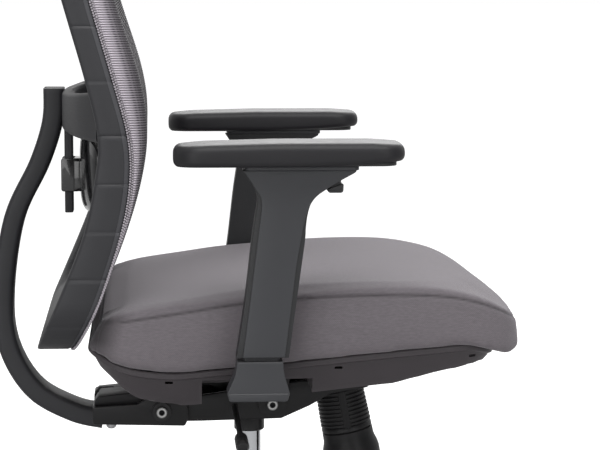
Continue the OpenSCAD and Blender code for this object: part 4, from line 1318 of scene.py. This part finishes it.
class CHAIR_OT_mechanism(bpy.types.Operator):
    """Housing, carrier, clamp, spring cup, knob and levers"""

    bl_idname = "chair.mechanism"
    bl_label = "Mechanism"

    def execute(self, context):
        paint, plastic = FINISHES["mech_paint"], FINISHES["mech_plastic"]
        outline = rounded([(-122, 318), (-60, 318), (36, 320), (70, 335), (95, 349), (142, 357), (142, 366),
                           (60, 366), (-60, 350), (-122, 346)], [12, 0, 12, 0, 14, 4, 3, 10, 10, 12])
        body = slab("housing_body", outline, "Y", -61, 61, 2)
        hollow = [(-117, 324), (36, 325), (70, 340), (95, 354), (137, 361), (137, 420), (-117, 420)]
        cut(body, [slab("cutter", hollow, "Y", -57, 57, 0)])
        collar = turned("collar", [(14.1, 296), (17, 296), (18.5, 297.5), (18.5, 309), (21, 316), (21, 330),
                                   (14.1, 330)], steps=40)
        settle(joined("housing", [body, collar]), "mechanism", paint, "mech_paint", "mech_housing")
        self.knob(context, plastic)
        self.carrier(paint, plastic)
        self.levers(plastic)
        return {"FINISHED"}

    def knob(self, context, plastic):
        tilt = math.radians(11)
        down = Vector((math.sin(tilt), 0, -math.cos(tilt)))
        head = Vector((110, 0, 350))
        profile = [(0, 1), (27, 1), (29, 2)]
        for i in range(context.scene.chair_sizes.ring_count):
            at, r = 5 + 5 * i, 29.7 + 0.16 * i
            profile += [(r - 1.9, at - 0.4), (r, at + 0.4), (r, at + 2.6), (r - 1.9, at + 3.4)]
        profile += [(30.8, 51), (30.8, 55), (0, 55)]
        cup = turned("cup", profile, head, down, steps=64)
        spot = head + down * 28 + Vector((0, -30.2, 0))
        outline = rounded([(-4.5, -22), (4.5, -22), (4.5, 24), (-4.5, 24)], [2] * 4)
        flat = slab("cup_strip", outline, "Y", -1.5, 1, 0.6)
        flat.data.transform(Matrix.Translation(spot * MM) @ Matrix.Rotation(-tilt, 4, "Y"))
        settle(joined("ribbed_cup", [cup, flat]), "mechanism", plastic, "mech_plastic", "spring_cup")
        grip = [(0, 55.5), (29, 55.5), (31, 57), (31.2, 66), (32, 70), (34, 76), (35, 82), (35, 93),
                (33, 98.5), (28, 101), (0, 101)]
        knob = turned("knob_body", grip, head, down, steps=72)
        settle(knob, "knob", plastic, "mech_plastic", "tension_knob")

    def carrier(self, paint, plastic):
        plate = rounded([(-190, 317), (-80, 314), (-76, 322), (-76, 338), (-96, 351), (-120, 351),
                         (-136, 341), (-190, 338)], [3, 3, 4, 6, 5, 5, 8, 3])
        lug = rounded([(-187, 332), (-163, 332), (-163, 346.5), (-187, 346.5)], [0, 0, 5, 5])
        parts = []
        for sign in (-1, 1):
            low, high = sorted((sign * 63, sign * 69))
            parts.append(slab("cheek", plate, "Y", low, high, 1))
            parts.append(turned("boss", [(6.6, 0), (12, 0), (12, 1.4), (11.2, 2.2), (6.6, 2.2)],
                                (-107.5, sign * 69, 331.6), (0, sign, 0), 40))
            low, high = sorted((sign * 22, sign * 28))
            parts.append(slab("lug", lug, "Y", low, high, 0.8))
        bridge = slab("bridge", rounded([(-190, 317), (-136, 317), (-136, 338), (-190, 338)], [2] * 4),
                      "Y", -63.5, 63.5, 1)
        slot = slab("cutter", [(-200, 331), (-130, 331), (-130, 360), (-200, 360)], "Y", -20, 20, 0)
        parts.append(cut(bridge, [slot]))
        settle(joined("carrier", parts), "back", paint, "mech_paint", "back_carrier")
        wedge = rounded([(-188, 338.2), (-188, 343), (-184, 349.5), (-142, 353.5), (-121, 349),
                         (-136, 341), (-138, 338.2)], [1, 3, 3, 3, 2, 2, 1])
        low_wedge = rounded([(-186, 338.2), (-186, 341), (-142, 345), (-133, 343), (-137, 338.2)],
                            [1, 1.5, 2, 1.5, 1])
        blocks = [slab("wedge", wedge, "Y", -62, -30, 1.5), slab("wedge", low_wedge, "Y", 30, 62, 1.2)]
        settle(joined("clamp_blocks", blocks), "back", plastic, "mech_plastic", "spine_clamp")

    def levers(self, plastic):
        grip = [(0, 0), (3.6, 0), (5.2, 2), (5.6, 8), (7.4, 16), (7.5, 40), (6.8, 46), (7.6, 52), (7.5, 60),
                (5.4, 65), (0, 66)]
        near = turned("height_handle", grip, (-20, -235, 335), (0, -1, 0), 40)
        settle(near, "height_lever_body", plastic, "mech_plastic", "height_grip")
        paddle = rounded([(-63, 332), (-41, 332), (-41, 340), (-63, 340)], [3.5] * 4)
        far = slab("lock_handle", paddle, "Y", 232, 300, 2.5)
        settle(far, "lock_lever_body", plastic, "mech_plastic", "lock_grip")


class CHAIR_OT_base(bpy.types.Operator):
    """The star base, the caster hoods and their twin wheels"""

    bl_idname = "chair.base"
    bl_label = "Base and casters"

    def execute(self, context):
        self.star()
        self.casters()
        return {"FINISHED"}

    def star(self):
        hub = [(25.1, 60), (31, 60), (34, 63), (34, 108), (31, 116), (28.5, 118), (25.1, 118)]
        tip = [(5.6, 59.6), (13.5, 59.6), (15, 61), (15, 79), (12, 82), (0, 82.6), (0, 77), (5.6, 77)]
        parts = [turned("hub", hub, steps=64)]
        boss = turned("boss", tip, (CASTER_CIRCLE, 0, 0), steps=40)
        rows = []
        for i in range(33):
            t = i / 32
            r = 22 + 294 * t
            half_w = 25 * (1 - t) + 12.5 * t
            if t > 0.96:
                half_w *= math.sqrt(max(1 - ((t - 0.96) / 0.045) ** 2, 0.05))
            top = 114 - 30 * t - 6 * math.sin(math.pi * t) ** 2 * (1 - t)
            low = 64 - 3 * math.sin(math.pi * t)
            section = rounded([(-half_w, low), (-half_w * 0.55, low), (-half_w * 0.5, low + 8),
                               (half_w * 0.5, low + 8), (half_w * 0.55, low), (half_w, low),
                               (half_w * 0.72, top), (-half_w * 0.72, top)],
                              [0.8, 0.8, 2, 2, 0.8, 0.8, half_w * 0.3, half_w * 0.3], 5)
            rows.append([(r, y, z) for y, z in section])
        arm = loft("arm", capped(rows))
        for angle in SPOKE_ANGLES:
            turn = Matrix.Rotation(angle, 4, "Z")
            parts += [copied(arm, "arm_copy", turn), copied(boss, "boss_copy", turn)]
        bpy.data.objects.remove(arm)
        bpy.data.objects.remove(boss)
        settle(joined("star", parts), "base", FINISHES["base_plastic"], "base_plastic", "star_base")

    def casters(self):
        hood = self.hood()
        wheels = self.wheels()
        for i, angle in enumerate(SPOKE_ANGLES, 1):
            place = Matrix.Translation(Vector((math.cos(angle), math.sin(angle), 0)) * CASTER_CIRCLE * MM)
            settle(copied(hood, f"hood_{i}", place), f"caster_{i}", FINISHES["caster_plastic"],
                   "caster_plastic", f"caster_hood_{i}")
            settle(copied(wheels, f"twin_wheels_{i}", place), f"wheels_{i}", FINISHES["caster_tread"],
                   "caster_tread", f"caster_wheels_{i}")
        bpy.data.objects.remove(hood)
        bpy.data.objects.remove(wheels)

    def round_wheel(self, radius, angles):
        """Points of X and height on a circle about the wheels' axle."""
        x, _, z = WHEEL_CENTRE
        return [(x + radius * math.cos(a), z + radius * math.sin(a)) for a in angles]

    def hood(self):
        """A crowned cover over both wheels, with the web and the stem's boss between them."""
        arc = [math.radians(a) for a in range(12, 169, 6)]
        rows = []
        for y in (-21.8, -20, -14, 0, 14, 20, 21.8):
            dip = 1.6 if abs(y) > 21 else 0.5 if abs(y) > 19 else 0
            side = self.round_wheel(31.5 - dip, arc) + self.round_wheel(29, reversed(arc))
            rows.append([(x, y, z) for x, z in side])
        ends = [[((p[0] + q[0]) / 2, p[1], (p[2] + q[2]) / 2) for p, q in zip(row, row[::-1])]
                for row in (rows[0], rows[-1])]
        cover = loft("cover", [ends[0]] + rows + [ends[1]])
        web_arc = [math.radians(a) for a in range(-30, 211, 8)]
        web = slab("web", self.round_wheel(29.6, web_arc), "Y", -7, 7, 0.8)
        boss = turned("stem_boss", [(4.1, 26), (7.2, 26), (8.5, 50), (8.5, 55), (7.5, 56), (4.1, 56)],
                      steps=32)
        return joined("hood", [cover, web, boss])

    def wheels(self):
        """Two dished wheels with a rounded tread, and the axle between them."""
        profile = [(3, 7.8), (24, 7.8), (26.8, 8.6), (27.5, 10.5), (27.5, 18), (26.6, 20.4), (24.2, 21.7),
                   (22, 21.8), (21, 20.2), (10, 19.2), (8.5, 20.6), (6, 21.4), (0, 21.6), (0, 7.8)]
        left = turned("wheel", profile, WHEEL_CENTRE, (0, 1, 0), 56)
        right = turned("wheel_2", profile, WHEEL_CENTRE, (0, -1, 0), 56)
        axle = turned("axle", [(0, -8), (3, -8), (3, 8), (0, 8)], WHEEL_CENTRE, (0, 1, 0), 24)
        return joined("wheels", [left, right, axle])


class CHAIR_OT_finish_nodes(bpy.types.Operator):
    """Gives every CAD piece that still shows its own finish"""

    bl_idname = "chair.finish_nodes"
    bl_label = "Finish the fixed pieces"

    def execute(self, context):
        slots = {row["node"]: row["material_slot"] for row in frame["record"]["subparts"]}
        for name, node in frame["nodes"].items():
            finish = FINISHES.get(name, FINISHES[slots[name]])
            for slot in node.material_slots:
                slot.material = finish
            if not node.material_slots:
                node.data.materials.append(finish)
        return {"FINISHED"}


class CHAIR_OT_stage(bpy.types.Operator):
    """A pale floor, soft studio lights and the camera"""

    bl_idname = "chair.stage"
    bl_label = "Stage"

    def execute(self, context):
        self.floor()
        self.lights(context)
        self.camera(context)
        return {"FINISHED"}

    def floor(self):
        deselect()
        bpy.ops.mesh.primitive_circle_add(vertices=96, radius=60, fill_type="NGON", location=(0, 0, 0))
        floor = named("studio_floor")
        material, tree, shader = new_material("pale_floor", Roughness=0.85, Emission_Strength=0.72)
        seen = add_node(tree, "ShaderNodeLightPath").outputs["Is Camera Ray"]
        tree.links.new(seen, shader.inputs["Emission Color"])
        noise = add_node(tree, "ShaderNodeTexNoise", values={"Scale": 1.5, "Detail": 2.0})
        place = add_node(tree, "ShaderNodeTexCoord").outputs["Object"]
        tree.links.new(place, noise.inputs["Vector"])
        tree.links.new(mix_colour(tree, noise.outputs["Fac"], (0.48, 0.48, 0.48), (0.52, 0.52, 0.52)),
                       shader.inputs["Base Color"])
        floor.data.materials.append(material)

    def lights(self, context):
        world = bpy.data.worlds.new("studio")
        context.scene.world = world
        world.use_nodes = True
        tree = world.node_tree
        surround = tree.nodes["Background"]
        split = add_node(tree, "ShaderNodeSeparateXYZ")
        tree.links.new(add_node(tree, "ShaderNodeTexCoord").outputs["Generated"], split.inputs["Vector"])
        behind = math_node(tree, "MULTIPLY_ADD", split.outputs["Y"], 0.35, 0.42, clamp=True)
        above = math_node(tree, "MULTIPLY_ADD", split.outputs["Z"], 0.3, 0.0)
        glow = math_node(tree, "ADD", behind, above, clamp=True)
        lit = math_node(tree, "MAXIMUM", glow, add_node(tree, "ShaderNodeLightPath").outputs["Is Camera Ray"])
        tree.links.new(lit, surround.inputs["Strength"])
        surround.inputs["Color"].default_value = (1, 1, 1, 1)
        panels = [((0.3, -1.5, 3.2), (0.05, 0, 0.5), 2.2, 62), ((-1.6, -3.4, 1.3), (0, 0, 0.55), 2.4, 44),
                  ((0.9, 2.8, 2.6), (0, 0, 0.6), 2.6, 75), ((1.5, -3.2, 1.2), (0.1, 0, 0.5), 1.6, 20)]
        for number, (place, target, width, power) in enumerate(panels):
            light = bpy.data.lights.new(f"softbox_{number + 1}", "AREA")
            light.shape = "SQUARE"
            light.size = width
            light.energy = power
            lamp = bpy.data.objects.new(light.name, light)
            lamp.location = place
            lamp.rotation_euler = (Vector(target) - Vector(place)).to_track_quat("-Z", "Y").to_euler()
            context.scene.collection.objects.link(lamp)

    def camera(self, context):
        data = bpy.data.cameras.new("camera")
        data.sensor_width = 36
        data.lens = 137.1
        data.clip_end = 200
        camera = bpy.data.objects.new("camera", data)
        camera.location = (-0.119, -2.765, 0.853)
        camera.rotation_euler = (math.radians(90 - 6.293), 0, math.radians(-3.758))
        context.scene.collection.objects.link(camera)
        context.scene.camera = camera
        context.scene.view_settings.view_transform = "Standard"


PIECES = (
    CHAIR_OT_finish_nodes,
    CHAIR_OT_back_frame,
    CHAIR_OT_back_mesh,
    CHAIR_OT_back_support,
    CHAIR_OT_cushion,
    CHAIR_OT_seat_pan,
    CHAIR_OT_armrests,
    CHAIR_OT_mechanism,
    CHAIR_OT_base,
    CHAIR_OT_stage,
)


class CHAIR_PT_panel(bpy.types.Panel):
    """The chair's pieces, in the order in which they are made"""

    bl_idname = "CHAIR_PT_panel"
    bl_label = "Task chair"
    bl_space_type = "VIEW_3D"
    bl_region_type = "UI"
    bl_category = "Chair"

    def draw(self, context):
        layout = self.layout
        for group in (context.scene.chair_sizes, context.scene.chair_colours):
            for key in group.bl_rna.properties.keys():
                if key not in ("rna_type", "name"):
                    layout.prop(group, key)
        for piece in PIECES:
            layout.operator(piece.bl_idname)


CLASSES = (ChairSizes, ChairColours, *PIECES, CHAIR_PT_panel)


def register():
    for item in CLASSES:
        bpy.utils.register_class(item)
    bpy.types.Scene.chair_sizes = PointerProperty(type=ChairSizes)
    bpy.types.Scene.chair_colours = PointerProperty(type=ChairColours)


def unregister():
    del bpy.types.Scene.chair_colours
    del bpy.types.Scene.chair_sizes
    for item in reversed(CLASSES):
        bpy.utils.unregister_class(item)


def main():
    register()
    FINISHES.update(make_finishes(bpy.context.scene.chair_colours))
    for piece in PIECES:
        group, name = piece.bl_idname.split(".")
        getattr(getattr(bpy.ops, group), name)()


if __name__ == "__main__":
    main()
